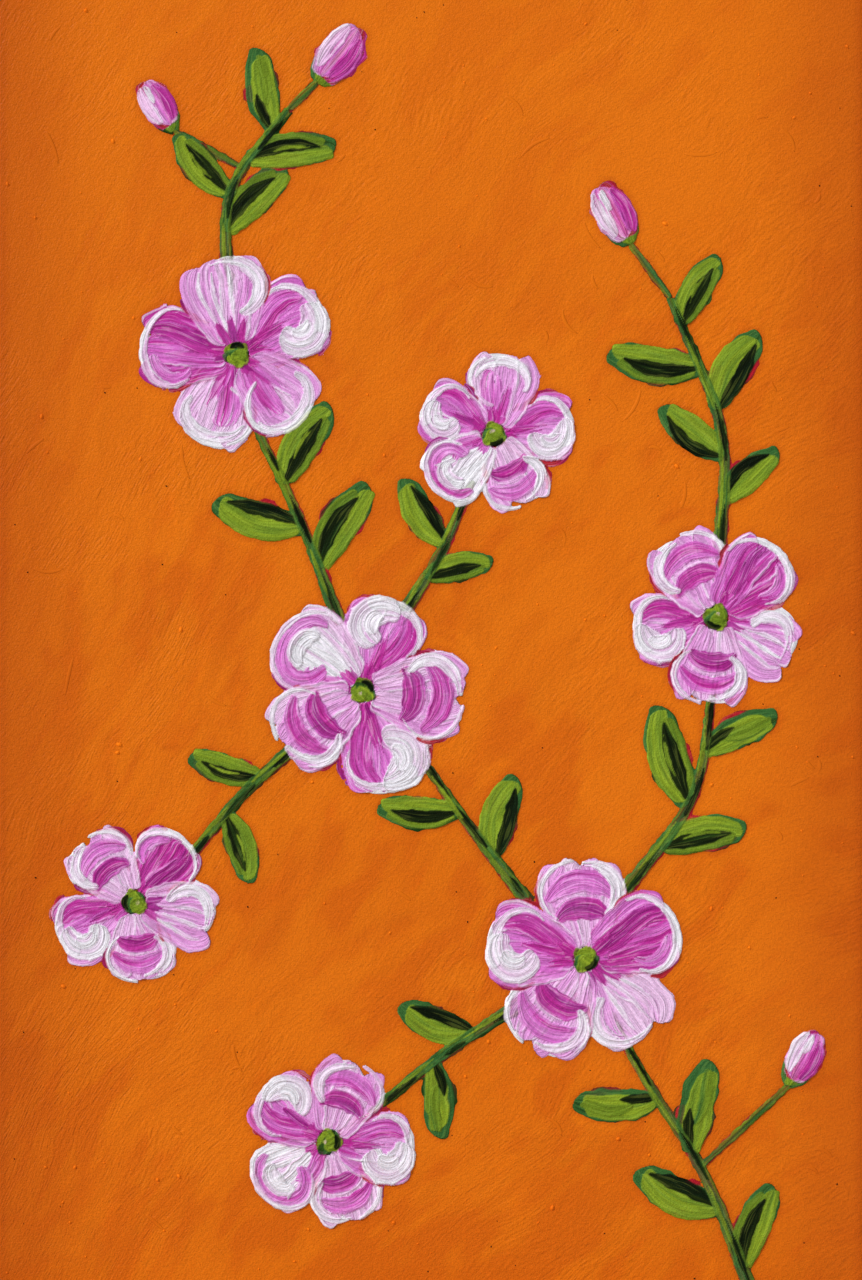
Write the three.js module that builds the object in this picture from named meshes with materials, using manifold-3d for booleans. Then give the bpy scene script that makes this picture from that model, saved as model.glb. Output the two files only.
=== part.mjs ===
// A floral painting in thick acrylic on canvas, stretched over a keyed wooden frame.
//
// Millimetres, +Z up, with the painted face looking along -Y. The origin is the middle of the ledge that
// the picture hangs by, which is the underside of the top stretcher bar.
import * as THREE from 'three';
import { mergeVertices } from 'three/addons/utils/BufferGeometryUtils.js';
import Module from 'manifold-3d';

const wasm = await Module();
wasm.setup();

// ---------------------------------------------------------------- driving dimensions

const PICTURE_WIDTH = 305;
const PICTURE_HEIGHT = 457;
const CLOTH = 0.5; // thickness of the primed and painted canvas

const BAR_WIDTH = 38; // stretcher bars, across the face
const BAR_DEPTH = 19; // front to back at the outer lip
const BAR_INNER_DEPTH = 15.5; // front to back at the inner edge, where the bar is thinnest
const LIP_WIDTH = 4; // flat strip that the cloth is pulled over
const LIP_DROP = 2; // how far the bar falls away just inside the lip

const CHEEK = 4.5; // outer layer of the corner joint, at the back
const LAYER = 5; // each of the two middle layers, one tongue and one slot
const TONGUE_PLAY = 0.15; // on each side of a tongue
const MITRE_PLAY = 0.2; // from the corner's diagonal, measured along the bar
const TONGUE_SHOULDER = 2.5; // how far a tongue's inner edge is set back
const TONGUE_ROOM = 10; // where that shoulder starts, before the inner corner
const SLOT_ROOM = 7.6; // how far a slot runs on past the inner corner, for the key

const KEY_LENGTH = 34;
const KEY_HEAD = 11; // width at the head
const KEY_TIP = 5;
const KEY_THICKNESS = 4.4;
const KEY_PROUD = 9; // how far the head stands out of the slot

const FLAP = 24; // cloth folded to the back, from the outer edge
const FOLD_INSET = 1; // the corner fold's edge, from the outer edge

const STAPLE_CROWN = 10;
const STAPLE_LEG = 8;
const WIRE_WIDTH = 1.2;
const WIRE_DEPTH = 0.7;
const STAPLE_INSET = 15; // from the picture's outer edge
const STAPLES_ACROSS = [-96, -32, 32, 96];
const STAPLES_UP = [-168, -101, -34, 34, 101, 168];
const STAPLE_TURN = 9; // most that a staple is turned from its bar, in degrees

const GAP = 0.3; // between neighbours that aren't laid face to face
const PAINT_RIM = 0.6; // height of a stroke's edge above the ground coat
const LEAF_CREST = 1.1;
const STEM_CREST = 1.2;
const STEM_HALF_WIDTH = 2.1;
const PETAL_HEIGHTS = [0.9, 0.75, 0.9]; // across a petal, edge to edge
const RIM_STROKE_HALF_WIDTH = 2.7; // the pale ridge laid along a petal's edge
const RIM_STROKE_CREST = 1.8;
const CENTRE_RADIUS = 6;
const CENTRE_CREST = 1.7;
const BUD_CREST = 1.5;
const PETALS = 5;
const LEAF_WIDTH = 0.4; // as a share of its length
const LEAF_BOW = 0.16; // how far its middle is bent aside, as a share of its width
const LEAF_LEAN = [0.7, 1.05]; // between a leaf and its stem, in radians
const LEAF_CLEARANCE = 2; // from a leaf's root to the nearest blossom
const STALK_HALF_WIDTH = 1.3;
const BUD_WIDTH = 0.34; // half width, as a share of the bud's length
const CUP_DEPTH = 2.5; // how far the green cup reaches below its bud

// Planes that the frame's pieces share.
const BACK = 8; // back of the bars, which puts the ledge's middle on the origin
const LIP = BACK - BAR_DEPTH;
const FACE = LIP - CLOTH; // the painted side of the cloth
const TOP = BAR_WIDTH;
const SIDE = PICTURE_WIDTH / 2 - CLOTH;
const BOTTOM = TOP + 2 * CLOTH - PICTURE_HEIGHT;
const MIDDLE_Z = (TOP + BOTTOM) / 2;
const FAR = 30; // past any face, for cutting tools

const BACK_LAYER = [BACK - CHEEK - LAYER, BACK - CHEEK];
const FRONT_LAYER = [BACK_LAYER[0] - LAYER, BACK_LAYER[0]];

// The picture, in millimetres from its middle. A twig's stem runs on behind the blossoms at its ends.
const BLOSSOMS = [
  { x: -68, z: 100, radius: 36, turn: 12 },
  { x: -24, z: -18, radius: 38, turn: -20 },
  { x: -104, z: -92, radius: 31, turn: 40 },
  { x: 54, z: -112, radius: 38, turn: 4 },
  { x: 100, z: 8, radius: 33, turn: 28 },
  { x: 22, z: 72, radius: 30, turn: -8 },
  { x: -36, z: -176, radius: 32, turn: 52 },
];
const BUDS = [
  { x: -32, z: 206, length: 21, aim: 52 },
  { x: -96, z: 188, length: 17, aim: 122 },
  { x: 64, z: 150, length: 20, aim: 118 },
  { x: 131, z: -146, length: 18, aim: 62 },
];
const TWIGS = [
  { stem: [[112, -227.5], [96, -188], [74, -152], [62, -130]], leaves: 4, leaf: 34, buds: [[3, 0.42]] },
  { stem: [[34, -92], [14, -66], [-6, -38]], leaves: 2, leaf: 28, buds: [] },
  { stem: [[-32, 6], [-46, 42], [-62, 76]], leaves: 3, leaf: 30, buds: [] },
  { stem: [[-72, 124], [-70, 158], [-50, 186]], leaves: 4, leaf: 27, buds: [[0, 1], [1, 0.62]] },
  { stem: [[68, -88], [92, -54], [99, -14]], leaves: 3, leaf: 31, buds: [] },
  { stem: [[101, 30], [102, 72], [84, 120]], leaves: 5, leaf: 29, buds: [[2, 1]] },
  { stem: [[-44, -34], [-66, -54], [-88, -80]], leaves: 2, leaf: 27, buds: [] },
  { stem: [[34, -126], [6, -144], [-22, -166]], leaves: 2, leaf: 27, buds: [] },
  { stem: [[-12, 6], [4, 32], [14, 56]], leaves: 2, leaf: 24, buds: [] },
];

// ---------------------------------------------------------------- materials

function material(name, color, roughness, metalness = 0) {
  return new THREE.MeshStandardMaterial({ name, color, roughness, metalness });
}

const pine = material('pine', 0xd9b98a, 0.75);
const beech = material('beech', 0xc9a06c, 0.65);
const groundOrange = material('ground_orange', 0xda6d17, 0.6);
const steel = material('staple_steel', 0xb4b6b8, 0.35, 0.9);
const petalPink = material('petal_pink', 0xcf7cc4, 0.45);
const centreGreen = material('centre_green', 0x9fb53a, 0.45);
const leafGreen = material('leaf_green', 0x4f7f32, 0.45);
const budPink = material('bud_pink', 0xc26ab8, 0.45);

// ---------------------------------------------------------------- solids

/** A manifold from a closed geometry, by its positions alone. */
function solid(geometry) {
  const bare = geometry.clone();
  bare.deleteAttribute('normal');
  bare.deleteAttribute('uv');
  const merged = mergeVertices(bare, 1e-4);
  return new wasm.Manifold(
    new wasm.Mesh({
      numProp: 3,
      vertProperties: new Float32Array(merged.attributes.position.array),
      triVerts: new Uint32Array(merged.index.array),
    }),
  );
}

/** A named mesh with the manifold's surface. */
function part(name, shape, look) {
  const { vertProperties, triVerts } = shape.getMesh();
  const geometry = new THREE.BufferGeometry();
  geometry.setAttribute('position', new THREE.BufferAttribute(new Float32Array(vertProperties), 3));
  geometry.setIndex(new THREE.BufferAttribute(new Uint32Array(triVerts), 1));
  geometry.computeVertexNormals();
  const mesh = new THREE.Mesh(geometry, look);
  mesh.name = name;
  return mesh;
}

function extruded(outline, depth, xAxis, yAxis, zAxis, origin) {
  const shape = new THREE.Shape(outline.map(([a, b]) => new THREE.Vector2(a, b)));
  const geometry = new THREE.ExtrudeGeometry(shape, { depth, bevelEnabled: false });
  geometry.applyMatrix4(new THREE.Matrix4().makeBasis(xAxis, yAxis, zAxis).setPosition(origin));
  return solid(geometry);
}

const X = new THREE.Vector3(1, 0, 0);
const Y = new THREE.Vector3(0, 1, 0);
const Z = new THREE.Vector3(0, 0, 1);

/** A flat piece with its outline in X and Z, from y = low to y = high. */
function slab(outline, low, high) {
  return extruded(outline, high - low, X, Z, Y.clone().negate(), new THREE.Vector3(0, high, 0));
}

function rectangle(x0, x1, z0, z1) {
  return [[x0, z0], [x1, z0], [x1, z1], [x0, z1]];
}

const join = (shapes) => shapes.reduce((whole, shape) => whole.add(shape));
const cut = (whole, tools) => tools.reduce((left, tool) => left.subtract(tool), whole);

/** The same outline at the bar's other end. */
const mirrored = (outline) => outline.map(([x, z]) => [-x, z]).reverse();

/** A repeatable stream of numbers from 0 to 1. */
function randomStream(seed) {
  let state = seed >>> 0;
  return () => {
    state = (Math.imul(state, 1664525) + 1013904223) >>> 0;
    return state / 4294967296;
  };
}

// ---------------------------------------------------------------- stretcher frame

/**
 * A bar lying along X as the top bar does, its inner edge on z = 0. Both ends carry half of a corner joint:
 * a tongue in one middle layer, a slot in the other, and mitred cheeks outside them.
 */
function stretcherBar(length, tongueLayer, slotLayer) {
  const slope = BAR_WIDTH - LIP_WIDTH - LIP_DROP;
  const section = [
    [0, BACK],
    [0, BACK - BAR_INNER_DEPTH],
    [slope, LIP + LIP_DROP],
    [BAR_WIDTH - LIP_WIDTH, LIP],
    [BAR_WIDTH, LIP],
    [BAR_WIDTH, BACK],
  ];
  const end = new THREE.Vector3(length / 2, 0, 0);
  const bar = extruded(section, length, Z, Y, X.clone().negate(), end);

  const corner = length / 2 - BAR_WIDTH; // the inner corner
  const beyond = length / 2 + FAR;
  const mitre = [
    [corner - FAR - MITRE_PLAY, -FAR],
    [beyond, -FAR],
    [beyond, BAR_WIDTH + FAR + MITRE_PLAY],
  ];
  const slot = rectangle(corner - SLOT_ROOM, beyond, -FAR, BAR_WIDTH + FAR);
  const shoulder = rectangle(corner - TONGUE_ROOM, beyond, -FAR, TONGUE_SHOULDER);
  const tools = [];
  for (const side of [(outline) => outline, mirrored]) {
    tools.push(slab(side(slot), ...slotLayer));
    tools.push(slab(side(shoulder), ...tongueLayer));
    tools.push(slab(side(mitre), LIP - FAR, tongueLayer[0] + TONGUE_PLAY));
    tools.push(slab(side(mitre), tongueLayer[1] - TONGUE_PLAY, BACK + FAR));
  }
  return cut(bar, tools);
}

/** A corner key driven along X into the top right corner, in the layer of the top bar's tongue. */
function keyOutline() {
  const corner = SIDE - BAR_WIDTH;
  const high = TONGUE_SHOULDER - GAP;
  const head = corner - KEY_PROUD;
  const tip = head + KEY_LENGTH;
  return [[head, high - KEY_HEAD], [tip, high - KEY_TIP], [tip, high], [head, high]];
}

/** The same key driven along Z, which mirrors it about the corner's diagonal. */
function crossedKeyOutline() {
  const corner = SIDE - BAR_WIDTH;
  return keyOutline().map(([x, z]) => [corner + z, x - corner]).reverse();
}

function key(outline, layer) {
  const middle = (layer[0] + layer[1]) / 2;
  return slab(outline, middle - KEY_THICKNESS / 2, middle + KEY_THICKNESS / 2);
}

/** Turns an outline of the top right corner into one of the corner on the given side and height. */
function atCorner(outline, right, top) {
  const placed = outline.map(([x, z]) => [right ? x : -x, top ? z : 2 * MIDDLE_Z - z]);
  return right === top ? placed : placed.reverse();
}

// ---------------------------------------------------------------- staples

/** Where each staple's crown lies on the back: its middle and its turn from X, in degrees. */
function staplePlaces() {
  const random = randomStream(17);
  const inset = STAPLE_INSET - CLOTH;
  const turned = (along) => along + STAPLE_TURN * (2 * random() - 1);
  const places = [];
  for (const x of STAPLES_ACROSS) {
    places.push({ bar: 'top', x, z: TOP - inset, turn: turned(0) });
    places.push({ bar: 'bottom', x, z: BOTTOM + inset, turn: turned(0) });
  }
  for (const up of STAPLES_UP) {
    places.push({ bar: 'right', x: SIDE - inset, z: MIDDLE_Z + up, turn: turned(90) });
    places.push({ bar: 'left', x: -SIDE + inset, z: MIDDLE_Z + up, turn: turned(90) });
  }
  return places;
}

/** A rectangle in X and Z about a staple's middle, from `start` to `end` along its crown. */
function alongCrown(place, start, end, halfWidth) {
  const angle = THREE.MathUtils.degToRad(place.turn);
  const [c, s] = [Math.cos(angle), Math.sin(angle)];
  const corners = rectangle(start, end, -halfWidth, halfWidth);
  return corners.map(([a, b]) => [place.x + a * c - b * s, place.z + a * s + b * c]);
}

function staple(place) {
  const half = STAPLE_CROWN / 2;
  const inner = half - WIRE_DEPTH;
  const seat = BACK + CLOTH;
  const crest = seat + WIRE_DEPTH;
  const tip = crest - STAPLE_LEG;
  const outline = [
    [-half, tip], [-inner, tip], [-inner, seat], [inner, seat],
    [inner, tip], [half, tip], [half, crest], [-half, crest],
  ];
  const angle = THREE.MathUtils.degToRad(place.turn);
  const crown = new THREE.Vector3(Math.cos(angle), 0, Math.sin(angle));
  const wide = crown.clone().cross(Y);
  const start = new THREE.Vector3(place.x, 0, place.z).addScaledVector(wide, -WIRE_WIDTH / 2);
  return extruded(outline, WIRE_WIDTH, crown, Y, wide, start);
}

/** The two holes that a staple's legs stand in, a little wider than the wire. */
function stapleHoles(place) {
  const half = STAPLE_CROWN / 2;
  const low = BACK + CLOTH + WIRE_DEPTH - STAPLE_LEG - GAP;
  const width = WIRE_WIDTH / 2 + GAP;
  return [
    slab(alongCrown(place, -half - GAP, -half + WIRE_DEPTH + GAP, width), low, BACK + FAR),
    slab(alongCrown(place, half - WIRE_DEPTH - GAP, half + GAP, width), low, BACK + FAR),
  ];
}

// ---------------------------------------------------------------- cloth

/** The doubled layer of a corner fold, on the back. */
function cornerFold(right, top) {
  const outer = SIDE + CLOTH - FOLD_INSET;
  const inner = SIDE + CLOTH - FLAP;
  const high = TOP + CLOTH - FOLD_INSET;
  const low = TOP + CLOTH - FLAP;
  const outline = atCorner([[outer, high], [inner, high], [inner, low]], right, top);
  return slab(outline, BACK + CLOTH / 2, BACK + 2 * CLOTH);
}

function canvas(places) {
  const wide = SIDE + CLOTH;
  const high = TOP + CLOTH;
  const deep = BOTTOM - CLOTH;
  const wrapped = slab(rectangle(-wide, wide, deep, high), FACE, BACK + CLOTH);
  const bars = slab(rectangle(-SIDE, SIDE, BOTTOM, TOP), LIP, BACK);
  const window = rectangle(-wide + FLAP, wide - FLAP, deep + FLAP, high - FLAP);
  const shell = cut(wrapped, [bars, slab(window, 0, BACK + FAR)]);
  const folds = [];
  for (const right of [true, false]) {
    for (const top of [true, false]) {
      folds.push(cornerFold(right, top));
    }
  }
  return cut(join([shell, ...folds]), places.flatMap(stapleHoles));
}

// ---------------------------------------------------------------- raised paint
//
// Strokes are laid out in the picture's own plane: x to the right, z up, and height out of the ground coat.

/**
 * A stroke of paint with a flat underside. Each section has its middle [x, z], the direction [x, z] that the
 * stroke runs in, its half width, and its heights from one edge to the other.
 */
function stroke(sections) {
  const points = [];
  const faces = [];
  const ring = sections[0].heights.length + 2;
  for (const { middle, direction, half, heights } of sections) {
    const [dx, dz] = direction;
    const place = (across, height) => {
      points.push(middle[0] - dz * across, -height, middle[1] + dx * across);
    };
    place(-half, 0);
    heights.forEach((height, i) => place(half * ((2 * i) / (heights.length - 1) - 1), height));
    place(half, 0);
  }
  for (let i = 0; i + 1 < sections.length; i += 1) {
    for (let j = 0; j < ring; j += 1) {
      const [a, b] = [i * ring + j, i * ring + ((j + 1) % ring)];
      faces.push(a, b + ring, b, a, a + ring, b + ring);
    }
  }
  const last = (sections.length - 1) * ring;
  for (let j = 1; j + 1 < ring; j += 1) {
    faces.push(0, j, j + 1, last, last + j + 1, last + j);
  }
  const geometry = new THREE.BufferGeometry();
  geometry.setAttribute('position', new THREE.BufferAttribute(new Float32Array(points), 3));
  geometry.setIndex(faces);
  return solid(geometry);
}

/** Evenly spaced sections on a smooth line through the given points. */
function onLine(points, count, half, heights) {
  const curve = new THREE.CatmullRomCurve3(points.map(([x, z]) => new THREE.Vector3(x, 0, z)));
  return Array.from({ length: count }, (_, i) => {
    const t = i / (count - 1);
    const [at, along] = [curve.getPointAt(t), curve.getTangentAt(t)];
    return { middle: [at.x, at.z], direction: [along.x, along.z], half: half(t), heights: heights(t) };
  });
}

const PETAL_STATIONS = [[0, 0.36], [0.3, 0.72], [0.55, 0.96], [0.76, 1], [0.91, 0.74], [1, 0.32]];
const PETAL_WIDTH = 0.43; // half width at the widest, as a share of the blossom's radius
const PETAL_ROOT = 4; // where a petal starts, from the blossom's middle
const PETAL_SWAY = 0.07; // most that a petal leans from its even place, in radians
const PETAL_SHORT = 0.09; // most that a petal falls short of the blossom's radius, as a share

const polar = (place, radius, angle) => [
  place.x + radius * Math.cos(angle),
  place.z + radius * Math.sin(angle),
];

/** The angle and the reach of each petal of a blossom. */
function petals(place) {
  const random = randomStream(Math.round(place.radius * 10 + Math.abs(place.x)));
  const first = THREE.MathUtils.degToRad(90 + place.turn);
  return Array.from({ length: PETALS }, (_, i) => ({
    angle: first + (i * 2 * Math.PI) / PETALS + PETAL_SWAY * (2 * random() - 1),
    radius: place.radius * (1 - PETAL_SHORT * random()),
    side: random() < 0.5 ? 1 : -1,
  }));
}

/** One petal, grown all round by `grow`, and of one even height where `flat` gives it. */
function petal(place, { angle, radius }, grow = 0, flat = null) {
  const direction = [Math.cos(angle), Math.sin(angle)];
  const sections = PETAL_STATIONS.map(([along, width], i) => {
    const tip = i === PETAL_STATIONS.length - 1 ? grow : 0;
    return {
      middle: polar(place, PETAL_ROOT + along * (radius - PETAL_ROOT) + tip, angle),
      direction,
      half: width * PETAL_WIDTH * radius + grow,
      heights: flat === null ? PETAL_HEIGHTS : [flat, flat],
    };
  });
  return stroke(sections);
}

/** The pale ridge along a petal's outer edge and one of its sides. */
function rimStroke(place, { angle, radius, side }) {
  const middle = polar(place, 0.66 * radius, angle);
  const across = PETAL_WIDTH * radius - RIM_STROKE_HALF_WIDTH;
  const along = 0.34 * radius - RIM_STROKE_HALF_WIDTH;
  const points = [-0.25, 0.1, 0.45, 0.8].map((turn) => {
    const [a, b] = [along * Math.cos(turn * Math.PI), side * across * Math.sin(turn * Math.PI)];
    const [c, s] = [Math.cos(angle), Math.sin(angle)];
    return [middle[0] + a * c - b * s, middle[1] + a * s + b * c];
  });
  const swell = (t) => Math.sin(Math.PI * t);
  const half = (t) => RIM_STROKE_HALF_WIDTH * (0.6 + 0.4 * swell(t));
  const heights = (t) => {
    const crest = PAINT_RIM + (RIM_STROKE_CREST - PAINT_RIM) * (0.55 + 0.45 * swell(t));
    return [PAINT_RIM, crest, PAINT_RIM];
  };
  return stroke(onLine(points, 6, half, heights));
}

function centreHole(place) {
  const geometry = new THREE.CylinderGeometry(CENTRE_RADIUS + GAP, CENTRE_RADIUS + GAP, FAR, 12);
  geometry.translate(place.x, 0, place.z);
  return solid(geometry);
}

function blossomPetals(place) {
  const pieces = petals(place).flatMap((shape) => [petal(place, shape), rimStroke(place, shape)]);
  return cut(join(pieces), [centreHole(place)]);
}

/** The space that a blossom takes, with its clearance, for cutting what runs behind it. */
function blossomRoom(place) {
  return join(petals(place).map((shape) => petal(place, shape, GAP, FAR)));
}

/** A blossom's centre: a round dab with a domed top. */
function blossomCentre(place) {
  const profile = [[0, 0], [1, 0], [1, 0.45], [0.65, 0.85], [0, 1]];
  const points = profile.map(([r, h]) => new THREE.Vector2(r * CENTRE_RADIUS, h * CENTRE_CREST));
  const geometry = new THREE.LatheGeometry(points, 12);
  geometry.rotateX(Math.PI);
  geometry.translate(place.x, 0, place.z);
  return solid(geometry);
}

function leaf(root, angle, length) {
  const width = length * LEAF_WIDTH;
  const bow = width * LEAF_BOW;
  const tip = [root[0] + length * Math.cos(angle), root[1] + length * Math.sin(angle)];
  const middle = [
    (root[0] + tip[0]) / 2 - bow * Math.sin(angle),
    (root[1] + tip[1]) / 2 + bow * Math.cos(angle),
  ];
  const half = (t) => Math.max(0.5, (width / 2) * Math.sin(Math.PI * (0.1 + 0.86 * t)));
  const heights = (t) => [PAINT_RIM, PAINT_RIM + (LEAF_CREST - PAINT_RIM) * (1 - 0.4 * t), PAINT_RIM];
  return stroke(onLine([root, middle, tip], 7, half, heights));
}

/** Whether a place in the picture is clear of every blossom. */
const inTheOpen = (x, z) =>
  BLOSSOMS.every((place) => Math.hypot(x - place.x, z - place.z) > place.radius + LEAF_CLEARANCE);

/** The stretch of a stem, from 0 to 1, that no blossom hides. */
function openStretch(curve) {
  const steps = Array.from({ length: 101 }, (_, i) => i / 100);
  const open = steps.filter((t) => {
    const at = curve.getPointAt(t);
    return inTheOpen(at.x, at.z);
  });
  return [open[0], open[open.length - 1]];
}

/** Where each leaf of a twig starts, which way it points and how long it is. */
function leafPlaces({ stem, leaves, leaf: size }, curve) {
  const random = randomStream(Math.round(stem[0][0] * stem[0][0] + size));
  const [first, last] = openStretch(curve);
  const places = [];
  for (let i = 0; i < leaves; i += 1) {
    const t = first + ((last - first) * (i + 0.35)) / leaves;
    const [at, along] = [curve.getPointAt(t), curve.getTangentAt(t)];
    const lean = LEAF_LEAN[0] + (LEAF_LEAN[1] - LEAF_LEAN[0]) * random();
    const angle = Math.atan2(along.z, along.x) + (i % 2 ? lean : -lean);
    places.push({ root: [at.x, at.z], angle, length: size * (0.85 + 0.3 * random()) });
  }
  return places;
}

/** A point on a bud's axis, `along` millimetres from its middle towards its tip. */
function onBud({ x, z, aim }, along) {
  const angle = THREE.MathUtils.degToRad(aim);
  return [x + along * Math.cos(angle), z + along * Math.sin(angle)];
}

function bud(place) {
  const ends = [-0.5, 0, 0.5].map((share) => onBud(place, share * place.length));
  const half = (t) => place.length * BUD_WIDTH * Math.sin(Math.PI * (0.16 + 0.72 * t)) ** 0.9;
  const heights = (t) => [PAINT_RIM, PAINT_RIM + (BUD_CREST - PAINT_RIM) * (1 - 0.3 * t), PAINT_RIM];
  return stroke(onLine(ends, 7, half, heights));
}

/** The space that a bud takes, with its clearance. */
function budRoom(place) {
  const ends = [-0.5, 0.5].map((share) => onBud(place, share * (place.length + 2 * GAP)));
  const half = (t) => GAP + place.length * BUD_WIDTH * Math.sin(Math.PI * (0.16 + 0.72 * t)) ** 0.9;
  return stroke(onLine(ends, 7, half, () => [FAR, FAR]));
}

/** The stalk from a twig's stem to a bud, and the green cup that holds the bud. */
function budStalk(curve, place, from) {
  const start = curve.getPointAt(from);
  const base = onBud(place, -place.length / 2 - CUP_DEPTH);
  const crown = () => [PAINT_RIM, LEAF_CREST, PAINT_RIM];
  const stalk = onLine([[start.x, start.z], base], 4, () => STALK_HALF_WIDTH, crown);
  const cup = onLine(
    [base, onBud(place, -0.05 * place.length)],
    5,
    (t) => place.length * (BUD_WIDTH + 0.04) * Math.sin(Math.PI * (0.12 + 0.4 * t)),
    crown,
  );
  return join([stroke(stalk), stroke(cup)]);
}

/** A stem with leaves set on both sides in turn and stalks for its buds. */
function twig(place, rooms) {
  const curve = new THREE.CatmullRomCurve3(place.stem.map(([x, z]) => new THREE.Vector3(x, 0, z)));
  const half = (t) => STEM_HALF_WIDTH * (1 - 0.35 * t);
  const stem = stroke(onLine(place.stem, 8, half, () => [PAINT_RIM, STEM_CREST, PAINT_RIM]));
  const leaves = leafPlaces(place, curve).map(({ root, angle, length }) => leaf(root, angle, length));
  const stalks = place.buds.map(([index, from]) => budStalk(curve, BUDS[index], from));
  const buds = place.buds.map(([index]) => budRoom(BUDS[index]));
  return cut(join([stem, ...leaves, ...stalks]), [...rooms, ...buds]);
}

// ---------------------------------------------------------------- the object

const painting = new THREE.Group();
painting.name = 'stretched_canvas_painting';

const staples = staplePlaces();
const across = stretcherBar(2 * SIDE, FRONT_LAYER, BACK_LAYER);
const upright = stretcherBar(TOP - BOTTOM, BACK_LAYER, FRONT_LAYER);

/** Puts a bar, made as the top bar is, at one side of the frame, with its staples' holes. */
function placedBar(name, bar, quarterTurns, x, z) {
  const geometry = part(name, bar, pine).geometry;
  geometry.rotateY(quarterTurns * (Math.PI / 2));
  geometry.translate(x, 0, z);
  const holes = staples.filter((place) => place.bar === name).flatMap(stapleHoles);
  return part(`stretcher_bar_${name}`, cut(solid(geometry), holes), pine);
}

painting.add(placedBar('top', across, 0, 0, 0));
painting.add(placedBar('bottom', across, 2, 0, 2 * MIDDLE_Z));
painting.add(placedBar('right', upright, 1, SIDE - BAR_WIDTH, MIDDLE_Z));
painting.add(placedBar('left', upright, -1, -SIDE + BAR_WIDTH, MIDDLE_Z));

for (const [vertical, top] of [['top', true], ['bottom', false]]) {
  for (const [level, right] of [['right', true], ['left', false]]) {
    const corner = `${vertical}_${level}`;
    const first = atCorner(keyOutline(), right, top);
    const second = atCorner(crossedKeyOutline(), right, top);
    painting.add(part(`key_${corner}_across`, key(first, FRONT_LAYER), beech));
    painting.add(part(`key_${corner}_up`, key(second, BACK_LAYER), beech));
  }
}

painting.add(part('canvas', canvas(staples), groundOrange));
staples.forEach((place, i) => {
  painting.add(part(`staple_${String(i + 1).padStart(2, '0')}`, staple(place), steel));
});

const picture = new THREE.Group();
picture.position.set(0, FACE, MIDDLE_Z);
const rooms = BLOSSOMS.map(blossomRoom);
BLOSSOMS.forEach((place, i) => {
  picture.add(part(`blossom_${i + 1}_petals`, blossomPetals(place), petalPink));
  picture.add(part(`blossom_${i + 1}_centre`, blossomCentre(place), centreGreen));
});
TWIGS.forEach((place, i) => {
  picture.add(part(`twig_${i + 1}`, twig(place, rooms), leafGreen));
});
BUDS.forEach((place, i) => {
  picture.add(part(`bud_${i + 1}`, bud(place), budPink));
});
painting.add(picture);

export default painting;
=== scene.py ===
"""A floral painting in thick acrylic on canvas, stretched over a keyed wooden frame.

The frame's solids come from the packed model. This script paints the picture stroke by stroke, stretches
the cloth, finishes the frame, and adds the floor, the lights and the camera. It is laid out as an add-on.
"""
import math

import bpy
import numpy as np
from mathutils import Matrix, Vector


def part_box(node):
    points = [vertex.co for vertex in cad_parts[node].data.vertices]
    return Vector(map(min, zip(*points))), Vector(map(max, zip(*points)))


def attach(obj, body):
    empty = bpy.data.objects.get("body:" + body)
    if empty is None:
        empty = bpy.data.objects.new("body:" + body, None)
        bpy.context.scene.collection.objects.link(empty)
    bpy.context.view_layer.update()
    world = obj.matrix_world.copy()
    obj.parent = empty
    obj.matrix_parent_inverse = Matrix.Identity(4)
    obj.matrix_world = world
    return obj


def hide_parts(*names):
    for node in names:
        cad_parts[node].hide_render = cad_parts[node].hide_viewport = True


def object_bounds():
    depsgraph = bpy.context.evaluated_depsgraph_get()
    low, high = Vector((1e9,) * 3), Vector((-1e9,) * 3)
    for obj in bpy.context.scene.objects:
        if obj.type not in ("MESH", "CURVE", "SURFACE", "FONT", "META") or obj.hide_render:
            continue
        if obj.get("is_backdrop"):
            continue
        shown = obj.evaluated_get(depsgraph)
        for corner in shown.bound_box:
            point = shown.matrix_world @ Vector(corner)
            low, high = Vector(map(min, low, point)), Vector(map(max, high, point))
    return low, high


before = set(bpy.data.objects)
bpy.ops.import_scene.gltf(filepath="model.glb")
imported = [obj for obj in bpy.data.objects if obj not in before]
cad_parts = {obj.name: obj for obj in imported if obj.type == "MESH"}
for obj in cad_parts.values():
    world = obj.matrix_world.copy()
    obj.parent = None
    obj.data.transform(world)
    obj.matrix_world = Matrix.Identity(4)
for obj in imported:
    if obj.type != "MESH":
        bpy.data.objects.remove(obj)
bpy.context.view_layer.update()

bl_info = {
    "name": "Stretched canvas painting",
    "version": (1, 0, 0),
    "blender": (4, 5, 0),
    "location": "View3D > Sidebar > Painting",
    "description": "A floral painting in thick acrylic on a stretched canvas, piece by piece",
    "category": "Object",
}

MM = 0.001
LINE_STEP = 0.5  # millimetres between the points of a line that a brush follows
OUTLINE = 0.5  # how far paint covers the cloth at a stroke's outline, from 0 to 1


# ------------------------------------------------------------------ where everything lies in the picture
#
# Millimetres from the picture's middle: x to the right, z up, and height out of the ground coat.

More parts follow.
